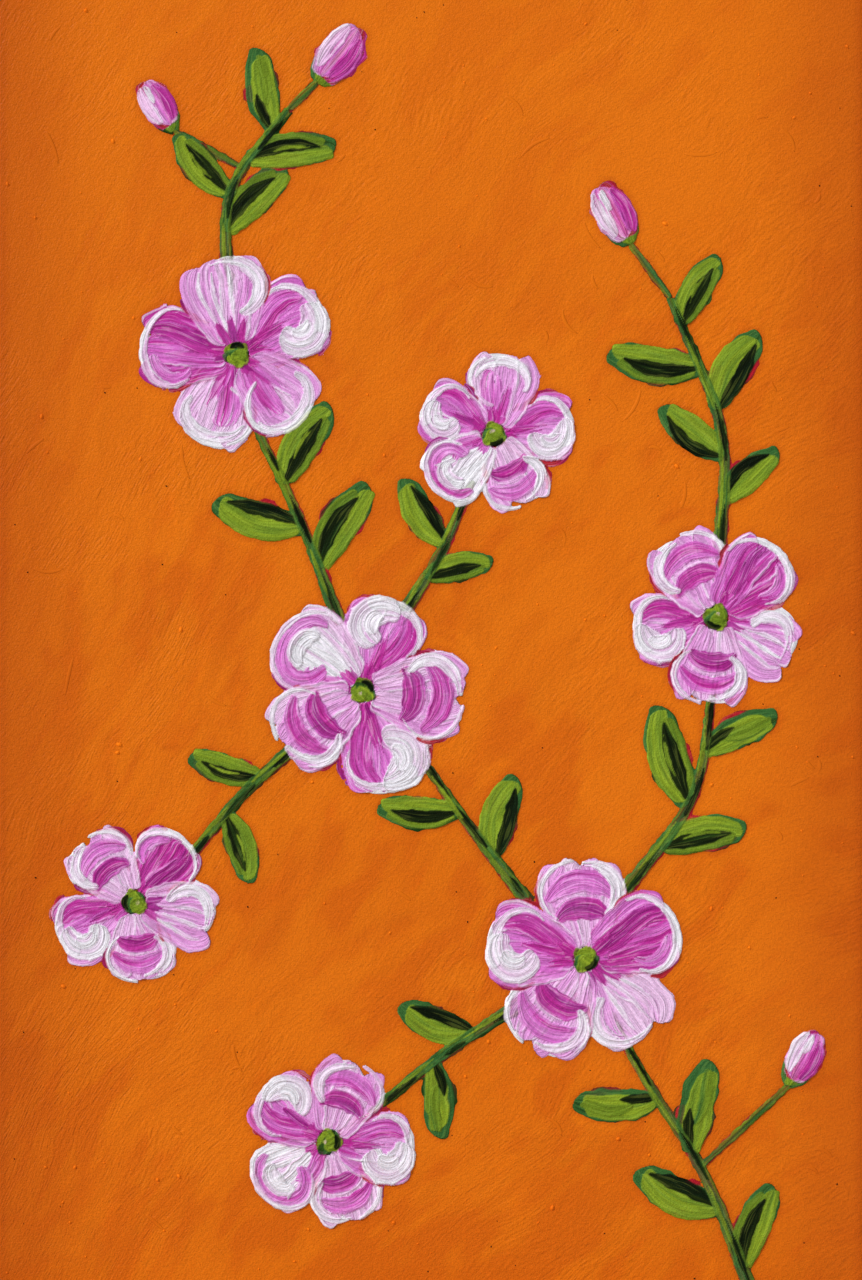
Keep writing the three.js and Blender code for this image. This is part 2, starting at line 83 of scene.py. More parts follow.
BLOSSOMS = [
    # middle x and z, radius, turn in degrees
    (-68, 100, 36, 12),
    (-24, -18, 38, -20),
    (-104, -92, 31, 40),
    (54, -112, 38, 4),
    (100, 8, 33, 28),
    (22, 72, 30, -8),
    (-36, -176, 32, 52),
]
BUDS = [
    # middle x and z, length, the way its tip points in degrees
    (-32, 206, 21, 52),
    (-96, 188, 17, 122),
    (64, 150, 20, 118),
    (131, -146, 18, 62),
]
TWIGS = [
    # stem, number of leaves, their length, and each bud with the place on the stem where its stalk starts
    (((112, -227.5), (96, -188), (74, -152), (62, -130)), 4, 34, ((3, 0.42),)),
    (((34, -92), (14, -66), (-6, -38)), 2, 28, ()),
    (((-32, 6), (-46, 42), (-62, 76)), 3, 30, ()),
    (((-72, 124), (-70, 158), (-50, 186)), 4, 27, ((0, 1), (1, 0.62))),
    (((68, -88), (92, -54), (99, -14)), 3, 31, ()),
    (((101, 30), (102, 72), (84, 120)), 5, 29, ((2, 1),)),
    (((-44, -34), (-66, -54), (-88, -80)), 2, 27, ()),
    (((34, -126), (6, -144), (-22, -166)), 2, 27, ()),
    (((-12, 6), (4, 32), (14, 56)), 2, 24, ()),
]
PETALS = 5
PETAL_STATIONS = ((0, 0.36), (0.3, 0.72), (0.55, 0.96), (0.76, 1), (0.91, 0.74), (1, 0.32))
PETAL_WIDTH = 0.43
PETAL_ROOT = 4
PETAL_SWAY = 0.07
PETAL_SHORT = 0.09
CENTRE_RADIUS = 6
STEM_HALF_WIDTH = 2.1
LEAF_WIDTH = 0.4
LEAF_BOW = 0.16
LEAF_LEAN = (0.7, 1.05)
LEAF_CLEARANCE = 2
STALK_HALF_WIDTH = 1.3
BUD_WIDTH = 0.34
CUP_DEPTH = 2.5


def random_stream(seed):
    """A repeatable stream of numbers from 0 to 1, the same one that the solids are placed by."""
    state = seed & 0xFFFFFFFF

    def draw():
        nonlocal state
        state = (state * 1664525 + 1013904223) & 0xFFFFFFFF
        return state / 2**32

    return draw


def motif_stream(seed, i):
    """The stream of numbers for one motif of a family."""
    return random_stream(seed * (i + 3) ** 5)


def smooth_line(points, step=LINE_STEP):
    """Even points on a centripetal Catmull-Rom curve through the given ones."""
    p = np.array(points, float)
    p = np.vstack([2 * p[0] - p[1], p, 2 * p[-1] - p[-2]])
    runs = []
    for a, b, c, d in zip(p, p[1:], p[2:], p[3:]):
        ab, bc, cd = (max(math.dist(u, v), 1e-6) ** 0.5 for u, v in ((a, b), (b, c), (c, d)))
        start = bc * ((b - a) / ab - (c - a) / (ab + bc) + (c - b) / bc)
        end = bc * ((c - b) / bc - (d - b) / (bc + cd) + (d - c) / cd)
        t = np.linspace(0, 1, 60, endpoint=False)[:, None]
        cubic = 2 * b - 2 * c + start + end
        square = -3 * b + 3 * c - 2 * start - end
        runs.append(b + start * t + square * t**2 + cubic * t**3)
    dense = np.vstack([*runs, p[-2:-1]])
    gone = np.concatenate([[0], np.cumsum(np.hypot(*np.diff(dense, axis=0).T))])
    even = np.linspace(0, gone[-1], max(4, round(gone[-1] / step) + 1))
    return np.column_stack([np.interp(even, gone, dense[:, i]) for i in (0, 1)])


def on_line(line, share):
    """A place and a direction on a line of even points."""
    at = share * (len(line) - 1)
    i = min(int(at), len(line) - 2)
    place = line[i] + (at - i) * (line[i + 1] - line[i])
    return place, math.atan2(*(line[i + 1] - line[i])[::-1])


def turned(middle, angle, ahead, aside=0.0):
    """A place so far ahead of a middle in a direction, and so far to the left of that."""
    c, s = math.cos(angle), math.sin(angle)
    return middle[0] + ahead * c - aside * s, middle[1] + ahead * s + aside * c


def petals_of(blossom):
    """The angle, the reach and the side of the pale edge of each petal."""
    x, _, radius, turn = blossom
    draw = random_stream(round(radius * 10 + abs(x)))
    found = []
    for i in range(PETALS):
        angle = math.radians(90 + turn) + i * 2 * math.pi / PETALS + PETAL_SWAY * (2 * draw() - 1)
        reach = radius * (1 - PETAL_SHORT * draw())
        found.append((angle, reach, 1 if draw() < 0.5 else -1))
    return found


def leaves_of(twig):
    """The root, the angle and the length of each leaf of a twig."""
    stem, count, size, _ = twig
    draw = random_stream(round(stem[0][0] ** 2 + size))
    line = smooth_line(stem)
    shares = np.linspace(0, 1, 101)
    clear = [
        t for t in shares
        if all(math.dist(on_line(line, t)[0], b[:2]) > b[2] + LEAF_CLEARANCE for b in BLOSSOMS)
    ]
    found = []
    for i in range(count):
        root, along = on_line(line, clear[0] + (clear[-1] - clear[0]) * (i + 0.35) / count)
        lean = LEAF_LEAN[0] + (LEAF_LEAN[1] - LEAF_LEAN[0]) * draw()
        found.append((root, along + (lean if i % 2 else -lean), size * (0.85 + 0.3 * draw())))
    return found


# ------------------------------------------------------------------ a brush and its paint


def lattice(i, j, seed):
    """A number from 0 to 1 for each whole place, the same on every run."""
    h = (i * 374761393 + j * 668265263 + seed * 974634777) & 0xFFFFFFFF
    h = ((h ^ (h >> 13)) * 1274126177) & 0xFFFFFFFF
    return ((h ^ (h >> 16)) & 0xFFFF) / 65535


def noise(a, b, seed):
    """Smooth noise from -1 to 1 over two coordinates."""
    fa, fb = np.floor(a), np.floor(b)
    i, j = fa.astype(np.int64), fb.astype(np.int64)
    u, v = a - fa, b - fb
    u, v = u * u * (3 - 2 * u), v * v * (3 - 2 * v)
    low = lattice(i, j, seed) * (1 - u) + lattice(i + 1, j, seed) * u
    high = lattice(i, j + 1, seed) * (1 - u) + lattice(i + 1, j + 1, seed) * u
    return 2 * (low * (1 - v) + high * v) - 1


def ramp(value, low, high):
    """0 below low, 1 above high and smooth between them."""
    t = np.clip((value - low) / (high - low), 0, 1)
    return t * t * (3 - 2 * t)


class Paint:
    """Wet paint on an even grid: how high it stands, its colour, where it lies and whose it is."""

    def __init__(self, width, height, pitch, tints):
        self.pitch = pitch
        self.tints = tints
        self.x = pitch * np.arange(-round(width / 2 / pitch), round(width / 2 / pitch) + 1)
        self.z = pitch * np.arange(-round(height / 2 / pitch), round(height / 2 / pitch) + 1)
        shape = (len(self.z), len(self.x))
        self.height = np.zeros(shape)
        self.cover = np.zeros(shape)
        self.owner = np.zeros(shape, int)
        self.colour = np.zeros((*shape, 3))
        self.lay = np.zeros((*shape, 2))  # across and along the stroke on top

    def window(self, low, high):
        """The part of the grid that holds a rectangle."""
        cols = np.clip(np.searchsorted(self.x, (low[0], high[0])) + (-1, 1), 0, len(self.x))
        rows = np.clip(np.searchsorted(self.z, (low[1], high[1])) + (-1, 1), 0, len(self.z))
        return slice(*rows), slice(*cols)


def brush(paint, owner, line, half, tints, seed, load=0.28, groove=0.5, ridge=0.12, share=0.4,
          swell=(0.7, 1, 1, 0.75), dry=0.0, feather=0.0, lip=None, veins=0.34, pick=0.2, bristle=0.75,
          fray=0.25, blunt=0.8, wobble=0.07):
    """
    One stroke along a line, half as wide as given. Two tints, given by name, lie in it in streaks, the
    second over the given share. Bristles leave grooves, the paint piles up at the edges and where the brush
    lifts, a dry brush breaks up towards its end, a feathered one towards its left side (right if below 0),
    and the stroke picks up some of the wet paint that it crosses. A lip is a pale tint that the brush
    carried at its corners: it lies in thin raised lines along the edges and in a few veins between the
    bristles.
    """
    line = smooth_line(line)
    length = LINE_STEP * (len(line) - 1)
    reach = half * max(swell) + 2 * paint.pitch
    rows, cols = paint.window(line.min(0) - reach, line.max(0) + reach)
    gx, gz = np.meshgrid(paint.x[cols], paint.z[rows])
    best = np.full(gx.shape, np.inf)
    near = np.zeros(gx.shape, int)
    stride = max(1, round(0.5 * half / LINE_STEP))
    for i in list(range(0, len(line), stride)) + [len(line) - 1]:
        d = (gx - line[i, 0]) ** 2 + (gz - line[i, 1]) ** 2
        closer = d < best
        best[closer] = d[closer]
        near[closer] = i
    near = np.clip(near, 0, len(line) - 1)
    tangent = np.gradient(line, axis=0)
    tangent /= np.hypot(*tangent.T)[:, None]
    for _ in range(2):  # slides each place along the line to its own nearest point
        dx, dz = gx - line[near, 0], gz - line[near, 1]
        ahead = dx * tangent[near, 0] + dz * tangent[near, 1]
        near = np.clip(near + np.round(ahead / LINE_STEP).astype(int), 0, len(line) - 1)
    dx, dz = gx - line[near, 0], gz - line[near, 1]
    ahead = dx * tangent[near, 0] + dz * tangent[near, 1]
    s = LINE_STEP * near + ahead
    t = dz * tangent[near, 0] - dx * tangent[near, 1]

    v = np.clip(s / length, 0, 1)
    width = half * np.interp(v, (0, 0.3, 0.7, 1), swell)
    width *= 1 + wobble * noise(s / (0.5 * half + 1.2), np.sign(t) * 3 + 0.5, seed)
    for end, lift in ((s, swell[0]), (length - s, swell[3])):
        cap = blunt * half * lift
        slant = 0.35 * t * (1 if seed % 2 else -1)
        width *= np.sqrt(1 - np.clip(1 - (end + slant) / cap, 0, 1) ** 2.6)
    across = t / np.maximum(width, 0.2)
    edge = width - np.abs(t)
    edge += fray * noise(s / 1.7, t / 1.1, seed + 1) * ramp(edge, -1, 0)
    inside = edge > -paint.pitch
    inside &= (s > -paint.pitch) & (s < length + paint.pitch)
    s, v, t, edge, across = (a[inside] for a in (s, v, t, edge, across))

    q = across * half / bristle
    hairs = 0.62 * noise(q, s / 16 + v, seed + 2) + 0.38 * noise(2.3 * q, s / 7, seed + 3)
    under = paint.colour[rows, cols][inside]
    covered = paint.cover[rows, cols][inside]
    height = paint.height[rows, cols][inside]
    same = (paint.owner[rows, cols][inside] == owner) & (covered > OUTLINE)
    lie = np.clip(OUTLINE + edge / paint.pitch, 0, 1)
    wear = dry * ramp(v, 0.35, 1)
    if feather:
        wear = wear + abs(feather) * ramp(math.copysign(1, feather) * across, -0.1, 1)
    lie *= np.where(same, ramp(hairs + 1.05 - 2.0 * wear, -0.12, 0.12), 1)
    rise = np.clip(edge / 0.8, 0, 1) ** 0.5
    shoulder = np.where(covered > OUTLINE, 0.62, 0.3) * (1 - rise) + rise
    body = load * (1 + groove * hairs) * (1.1 - 0.35 * v) * shoulder
    body += ridge * np.exp(-(((edge - 0.6) / 0.42) ** 2)) * (0.6 + 0.4 * noise(s / 4, across, seed + 4))
    lifted = np.exp(-(((length - s) / (0.3 * half + 0.6)) ** 2))
    body += 0.5 * ridge * lifted * (1 - dry) * shoulder

    streak = share - 0.5 + 0.42 * noise(q / 2.6, s / 30, seed + 5) + 0.3 * noise(q / 1.1, s / 14, seed + 6)
    mix = ramp(streak, -0.26, 0.26)[:, None]
    first, second = (np.array(paint.tints[name]) for name in tints.split())
    pigment = first * (1 - mix) + second * mix
    # painted shade in the bristle grooves and painted light on the ridges, a twentieth either way
    pigment = pigment * (1 + 0.05 * hairs[:, None])
    if lip is not None:
        present = ramp(noise(s / 8, np.sign(across) * 4 + 0.5, seed + 9), -0.3, 0.3)
        rim = np.exp(-(((edge - 0.5) / 0.4) ** 2)) * present
        thin = noise(q / 3.4, s / 45, seed + 8) / 0.075
        vein = veins * np.exp(-(thin**2)) * ramp(noise(q / 1.7, s / 10, seed + 10), -0.1, 0.35)
        pale = np.clip(0.85 * rim + 0.75 * vein, 0, 1)
        pigment = pigment * (1 - pale[:, None]) + np.array(paint.tints[lip]) * pale[:, None]
        body += 0.13 * rim + 0.1 * vein

    taken = pick * covered * np.clip(0.5 + noise(q / 1.8, s / 18, seed + 7), 0, 1)
    pigment = pigment * (1 - taken[:, None]) + under * taken[:, None]
    thick = lie * np.clip(0.93 + 0.25 * hairs, 0.6, 1)
    thick = np.where(covered > OUTLINE, thick, lie)[:, None]
    colour = np.where(covered[:, None] > 0.02, under * (1 - thick) + pigment * thick, pigment)

    def put(field, values):
        part = field[rows, cols]
        part[inside] = values

    put(paint.colour, colour)
    put(paint.height, height * (1 - 0.42 * lie * (0.3 + 0.7 * rise)) + body * lie)
    put(paint.cover, np.maximum(covered, lie))
    top = lie > OUTLINE
    whose = paint.owner[rows, cols]
    whose[inside] = np.where(top, owner, whose[inside])
    lay = paint.lay[rows, cols]
    own = np.stack((across * half, s), axis=1) + 60 * np.array((lattice(seed, 1, 5), lattice(seed, 2, 5)))
    lay[inside] = np.where(top[:, None], own, lay[inside])


def colour(text):
    """A colour as three numbers from 0 to 1, as a screen shows it."""
    return tuple(int(text[i:i + 2], 16) / 255 for i in (0, 2, 4))


# ------------------------------------------------------------------ the strokes of each motif

TWIG_OWNER, BUD_OWNER, PETALS_OWNER, CENTRE_OWNER = 10, 20, 30, 40
TWIG_SEED, BUD_SEED, PETALS_SEED, CENTRE_SEED = 907, 61, 5003, 701
MOTIFS_WIDE, MOTIFS_HIGH = 305, 457  # the sheet that the motifs are painted on
BELLY_MIDDLE, BELLY_REACH = 0.66, 0.34  # of a petal's rounded end, as shares of the petal's reach
UNDERPAINT = dict(load=0.08, ridge=0, pick=0, fray=0.6, wobble=0.3)
CURL = dict(load=0.3, share=0.16, groove=0.6, pick=0.2, lip="white")  # thick pale paint

PETAL_KINDS = ("cup", "fold", "hook", "ribbed", "curl", "deep", "fold", "cup", "hook")
PETAL_BASES = {
    "cup": "pale rose", "fold": "rose pale", "hook": "pink rose",
    "ribbed": "pale rose", "curl": "pale white", "deep": "magenta pink",
}
# What lies on each kind's base: the line's shape and places, its half width and what that is measured in,
# the two tints, and how the brush lies. The places are the arguments of the functions in petal_strokes.
PETAL_STROKES = {
    "cup": (
        ("fan", (0.1, 0.3, 0.02, 0.68, 0.1, 0.1), 0.31, "wide", "pink magenta",
         dict(load=0.2, share=0.25, dry=0.45, swell=(0.65, 1, 1, 0.8), lip="rose")),
        ("fan", (-0.15, -0.22, 0.0, 0.56, 0.0, 0.12), 0.15, "wide", "magenta pink",
         dict(load=0.18, share=0.4, dry=0.7, swell=(0.8, 1, 0.8, 0.5), lip="rose")),
        ("rim", (-0.62, 0.5, 0.72, 0.8), 0.2, "big", "white pale",
         CURL | dict(dry=0.5, feather=-0.55, swell=(0.35, 0.9, 1.1, 0.4), veins=0.25, pick=0.22)),
        ("rim", (0.95, 0.2, 0.93), 1.1, "mm", "white pale",
         dict(load=0.3, share=0.2, swell=(0.5, 1, 1, 0.6), dry=0.4)),
    ),
    "fold": (
        ("bow", (0.74, -0.84, 0.84, 0.3), 0.25, "big", "pink magenta",
         dict(load=0.22, share=0.3, dry=0.2, swell=(0.35, 1, 1, 0.3), lip="rose", veins=0.28)),
        ("bow", (0.44, -0.82, 0.86, 0.2), 0.26, "wide", "magenta plum",
         dict(load=0.22, share=0.4, dry=0.25, swell=(0.3, 1, 1, 0.25), lip="pink", veins=0.22)),
        ("bow", (0.58, -0.7, 0.55, 0.26), 0.6, "mm", "pale rose",
         dict(load=0.24, share=0.4, dry=0.6, bristle=0.5, swell=(0.5, 1, 1, 0.3))),
        ("rim", (0.8, 0.02, 0.86, 0.8), 0.17, "big", "white pale",
         CURL | dict(feather=0.6, dry=0.4, swell=(0.5, 1.1, 1, 0.4), pick=0.22)),
        ("rim", (0.05, 0.8, 0.94, 0.94, True), 0.9, "mm", "white pale",
         dict(load=0.3, share=0.16, swell=(0.6, 1, 1, 0.3), dry=0.4)),
    ),
    "hook": (
        ("fan", (-0.1, -0.46, 0.0, 0.86, -0.24), 0.27, "wide", "magenta pink",
         dict(load=0.22, share=0.3, dry=0.3, swell=(0.6, 1, 1, 0.6), lip="rose", veins=0.28)),
        ("fan", (-0.05, -0.05, 0.05, 0.6), 0.14, "wide", "magenta plum",
         dict(load=0.2, share=0.3, dry=0.6, swell=(0.8, 1, 0.8, 0.4), lip="pink")),
        ("rim", (-0.72, 0.28, 0.86, 0.74), 0.14, "wide", "white pale",
         CURL | dict(load=0.28, feather=-0.5, swell=(0.15, 0.6, 1, 1))),
        ("rim", (-0.1, 0.94, 0.6, 0.5), 0.37, "big", "white pale",
         CURL | dict(load=0.36, share=0.12, groove=0.65, dry=0.15, swell=(0.55, 1, 1, 0.7), veins=0.28,
                     bristle=0.9)),
        ("rim", (0.75, 0.15, 0.3, 0.45), 0.2, "wide", "white pale",
         CURL | dict(dry=0.4, swell=(0.5, 1, 1, 0.6), veins=0.28)),
    ),
    "ribbed": (
        ("fan", (0.3, 0.62, 0.1, 0.85), 0.17, "wide", "rose pink",
         dict(load=0.18, share=0.4, dry=0.5, lip="pale")),
        ("rim", (0.9, -0.1, 0.84, 0.76), 0.2, "big", "white pale",
         CURL | dict(feather=0.55, dry=0.5, swell=(0.5, 1.1, 0.8, 0.3))),
    ),
    "curl": (
        ("fan", (-0.25, -0.3, 0.0, 0.5, -0.3), 0.2, "wide", "pink magenta",
         dict(load=0.2, share=0.3, dry=0.4, swell=(0.7, 1, 1, 0.7), lip="rose")),
        ("rim", (-0.96, 0.5, 0.72, 0.74), 0.24, "wide", "pink magenta",
         dict(load=0.24, share=0.3, dry=0.15, swell=(0.6, 1, 1, 0.35), lip="rose", veins=0.22)),
        ("rim", (-0.86, 0.6, 0.95), 1.0, "mm", "white pale",
         dict(load=0.3, share=0.16, dry=0.3, swell=(0.3, 1, 1.1, 0.4))),
        ("rim", (0.5, -0.55, 0.38, 0.3), 0.24, "big", "white pale",
         CURL | dict(load=0.38, share=0.12, groove=0.65, dry=0.2, swell=(0.5, 1, 1, 0.8), veins=0.28)),
    ),
    "deep": (
        ("fan", (0.15, 0.5, 0.03, 0.9), 0.26, "wide", "plum magenta",
         dict(load=0.2, share=0.5, dry=0.4, swell=(0.6, 1, 0.9, 0.6), lip="pink", veins=0.28)),
        ("rim", (0.1, 0.8, 0.66, 0.72, True), 0.2, "wide", "rose pink",
         dict(load=0.24, share=0.5, dry=0.5, feather=0.4, swell=(0.5, 1, 1, 0.5), lip="pale")),
        ("rim", (-0.72, 0.55, 0.9, 0.94), 0.09, "big", "white pale",
         dict(load=0.32, share=0.16, dry=0.35, feather=-0.4, swell=(0.25, 1.2, 0.9, 0.5), lip="white")),
    ),
}

LEAF_LOOK = dict(load=0.26, groove=0.22, ridge=0.08, bristle=0.8, pick=0.1, wobble=0.12)
POINTED = LEAF_LOOK | dict(load=0.22, share=0.06, swell=(0.3, 1, 1, 0.15), fray=0.15, groove=0.12)
FLAT = LEAF_LOOK | dict(groove=0.12, share=0.1, fray=0.18, swell=(0.5, 1, 1, 0.7))
# On each kind's green base: places, half width as a share of the leaf's, tints, and how the brush lies.
LEAF_STROKES = {
    "lit": (
        ((0.24, 0.0, 0.9, 0.2, 0.06), 0.36, "lime leaf", FLAT | dict(swell=(0.5, 1, 1.05, 0.75))),
        ((-0.42, 0.02, 0.88, -0.14), 0.2, "black dark", POINTED),
    ),
    "veined": (
        ((0.5, 0.03, 0.97), 0.27, "lime leaf", FLAT | dict(swell=(0.6, 1, 1, 0.7))),
        ((-0.52, 0.05, 0.88), 0.22, "leaf lime", FLAT),
        ((-0.1, 0.04, 0.84, -0.1), 0.19, "black dark", POINTED),
    ),
    "broad": (
        ((0.2, 0.0, 0.9), 0.38, "lime leaf", FLAT),
        ((0.1, 0.3, 0.92, 0.3), 0.17, "leaf green", FLAT),
        ((-0.3, 0.0, 0.46), 0.15, "black dark", POINTED),
    ),
}

BUD_BELLY = (0.6, 1, 0.9, 0.55)
# Places, half width as a share of the bud's and millimetres more, tints, and how the brush lies.
BUD_STROKES = (
    ((-0.06, -0.5, 0.53), 1, 0.35, "crimson magenta",
     dict(load=0.1, groove=0.3, ridge=0, share=0.3, pick=0, swell=BUD_BELLY, wobble=0.2, fray=0.5)),
    ((0,), 1, 0, "pink rose",
     dict(load=0.24, share=0.5, swell=BUD_BELLY, lip="pale")),
    ((-0.4, -0.45, 0.4, -0.25), 0.42, 0, "magenta plum",
     dict(load=0.22, share=0.3, dry=0.4, swell=(0.6, 1, 0.9, 0.4), lip="pink")),
    ((0.42, -0.4, 0.46, 0.15), 0.38, 0, "pale white",
     dict(load=0.28, share=0.5, dry=0.3, feather=-0.4, swell=(0.4, 1, 1.1, 0.5), lip="white")),
    ((0.1, 0.05, 0.44), 0.2, 0, "white pale",
     dict(load=0.3, share=0.2, dry=0.4, pick=0.1, swell=(0.5, 1, 1, 0.6))),
)


def petal_spot(blossom, petal, along, across):
    """A place on a petal: from its root to its tip along, and from edge to edge across."""
    angle, reach, _ = petal
    aside = across * PETAL_WIDTH * reach * np.interp(along, *zip(*PETAL_STATIONS))
    return turned(blossom, angle, PETAL_ROOT + along * (reach - PETAL_ROOT), aside)


def belly_spot(blossom, petal, turn, share, side):
    """A place round a petal's belly: half circles from its tip to one side, and a share of the way out."""
    angle, reach, _ = petal
    ahead = reach * (BELLY_MIDDLE + BELLY_REACH * share * math.cos(turn * math.pi))
    return turned(blossom, angle, ahead, side * PETAL_WIDTH * reach * share * math.sin(turn * math.pi))


def petal_strokes(paint, owner, blossom, petal, kind, draw):
    """Red underpaint at part of the edge, broad strokes, crescents of shade, and pale curls at the rim."""
    reach, side = petal[1], petal[2]
    wide = PETAL_WIDTH * reach
    seed = round(1000 * draw())

    def fan(first, last, start=0.0, end=1.0, bend=0.0, longer=0.0):
        """A line from the root outwards, by chance a little longer."""
        if longer:
            end += longer * draw()
        return [
            petal_spot(blossom, petal, start + (end - start) * t, first + (last - first) * t + bend * lean)
            for t, lean in ((t, math.sin(math.pi * t)) for t in np.linspace(0, 1, 6))
        ]

    def sided_fan(first, last, start=0.0, end=1.0, bend=0.0, longer=0.0):
        """A fan's line on the side of the petal's pale edge."""
        return fan(side * first, side * last, start, end, side * bend, longer)

    def bow(along, first, last, droop):
        """A line from side to side, its ends nearer the root."""
        places = np.linspace(side * first, side * last, 7)
        return [petal_spot(blossom, petal, along - droop * a * a, a) for a in places]

    def rim(first, last, start, end=None, other=False):
        """A line round the belly, from one turn to another and from one share of the way out to another."""
        end = start if end is None else end
        way = -side if other else side
        return [
            belly_spot(blossom, petal, first + (last - first) * t, start + (end - start) * t, way)
            for t in np.linspace(0, 1, 9)
        ]

    def stroke(line, half, tints, **look):
        nonlocal seed
        seed += 11
        brush(paint, owner, line, half, tints, seed, **look)

    for other in (False, True):  # red underpaint that shows beyond the edge
        first = 0.15 + 0.55 * draw()
        line = rim(first, min(first + 0.25 + 0.3 * draw(), 1.02), 1.0 + 0.3 / reach, other=other)
        half = 0.7 + 0.5 * draw()
        stroke(line, half, "crimson plum", groove=0.3, share=0.3, swell=(0.4, 1, 1, 0.4), **UNDERPAINT)

    first, second = PETAL_BASES[kind].split()
    sway = 0.16 * (draw() - 0.5)
    middles, half = ((-0.58, 0.02, 0.58), 0.42) if draw() < 0.5 else ((-0.68, -0.24, 0.22, 0.68), 0.335)
    for k in sorted(range(len(middles)), key=lambda _: draw()):
        across = middles[k]
        line = fan(0.8 * across, across, 0.0, 0.985 - 0.07 * abs(across) - 0.05 * draw(), sway)
        pair = f"{first} {second}" if draw() < 0.6 else f"{second} {first}"
        streaks, worn = 0.12 + 0.22 * draw(), 0.1 * draw()
        stroke(line, half * wide, pair, load=0.22, share=streaks, dry=worn, swell=(0.75, 1, 1, 0.86),
               lip="white", veins=0.18, wobble=0.1)

    units = {"wide": (wide, 1), "big": (wide, 0.9 + 0.25 * draw()), "mm": (1, 1)}
    if kind == "ribbed":
        for middle in (-0.62, -0.22, 0.2, 0.58):
            across = middle + 0.1 * (draw() - 0.5)
            line = fan(0.75 * across, across, 0.12 + 0.1 * draw(), 0.92 - 0.1 * draw(), 0.05)
            stroke(line, 0.75, "white pale", load=0.26, share=0.3, swell=(0.4, 0.9, 1.1, 0.6), dry=0.35)
    shapes = {"fan": sided_fan, "bow": bow, "rim": rim}
    for shape, places, half, unit, tints, look in PETAL_STROKES[kind]:
        stroke(shapes[shape](*places), half * units[unit][0] * units[unit][1], tints, **look)

    # the throat
    if kind == "ribbed":
        for across in (-0.35, 0.0, 0.36):
            line = fan(across, 1.5 * across, 0.0, 0.26 + 0.16 * draw())
            stroke(line, 0.1 * wide, "plum magenta", load=0.18, share=0.5, dry=0.9, swell=(1, 1, 0.7, 0.3))
    elif kind != "fold":
        for k in (-1, 0, 1):
            line = fan(0.25 * k, 0.42 * k + 0.1 * (draw() - 0.5), 0.0, 0.14 + 0.16 * draw())
            pair = "magenta pink" if draw() < 0.4 else "magenta plum"
            stroke(line, 0.11 * wide, pair, load=0.18, share=0.35, dry=0.8, swell=(1, 1, 0.8, 0.5))


def blossom_strokes(paint, i):
    """A blossom's petals, over red underpaint in the notches between them."""
    blossom = BLOSSOMS[i]
    radius = blossom[2]
    draw = motif_stream(PETALS_SEED, i)
    petals = petals_of(blossom)
    for k in range(PETALS):  # red underpaint in the notches between the petals
        half_way = (petals[k][0] + petals[(k + 1) % PETALS][0]) / 2 + (math.pi if k == PETALS - 1 else 0)
        ways = (PETAL_ROOT, 0.3 * radius, (0.47 + 0.08 * draw()) * radius)
        line = [turned(blossom, half_way, way) for way in ways]
        brush(paint, PETALS_OWNER + i, line, 0.075 * radius, "crimson plum", 7 * k + 1,
              swell=(1, 1, 1, 0.5), **UNDERPAINT)
    first = int(len(PETAL_KINDS) * draw())
    for k in sorted(range(PETALS), key=lambda _: draw()):
        kind = PETAL_KINDS[(first + 2 * k) % len(PETAL_KINDS)]
        petal_strokes(paint, PETALS_OWNER + i, blossom, petals[k], kind, draw)


def centre_strokes(paint, i):
    """A blossom's centre: green dabs towards the middle, and bowed lines over them."""
    owner = CENTRE_OWNER + i
    middle, turn = BLOSSOMS[i][:2], math.radians(BLOSSOMS[i][3])
    draw = motif_stream(CENTRE_SEED, i)
    for k in range(6):
        angle = turn + k * 2 * math.pi / 6 + 0.5 * draw()
        tip = turned(middle, angle, CENTRE_RADIUS * (0.66 + 0.14 * draw()))
        root = turned(middle, angle + 0.5, -1.5)
        line = (tip, ((tip[0] + root[0]) / 2 + 0.4, (tip[1] + root[1]) / 2), root)
        pair = ("green dark", "lime leaf", "leaf lime")[k % 3]
        brush(paint, owner, line, 2.5, pair, 90 + 31 * i + k, load=0.42, groove=0.35, share=0.3, pick=0.1,
              swell=(0.9, 1, 0.9, 0.7), wobble=0.15)
    start = turn + 6 * draw()
    for first, last, out, half, pair in (
        (0.0, 1.7, 0.56, 1.15, "black dark"),
        (2.5, 4.1, 0.5, 1.0, "lime leaf"),
        (3.3, 4.6, 0.2, 0.75, "lime pale"),
    ):
        line = [turned(middle, start + a, out * CENTRE_RADIUS) for a in np.linspace(first, last, 5)]
        seed = 190 + 31 * i + round(10 * first)
        brush(paint, owner, line, half, pair, seed, load=0.3, ridge=0.08, share=0.25, pick=0.05,
              swell=(0.5, 1, 0.9, 0.35), dry=0.2)


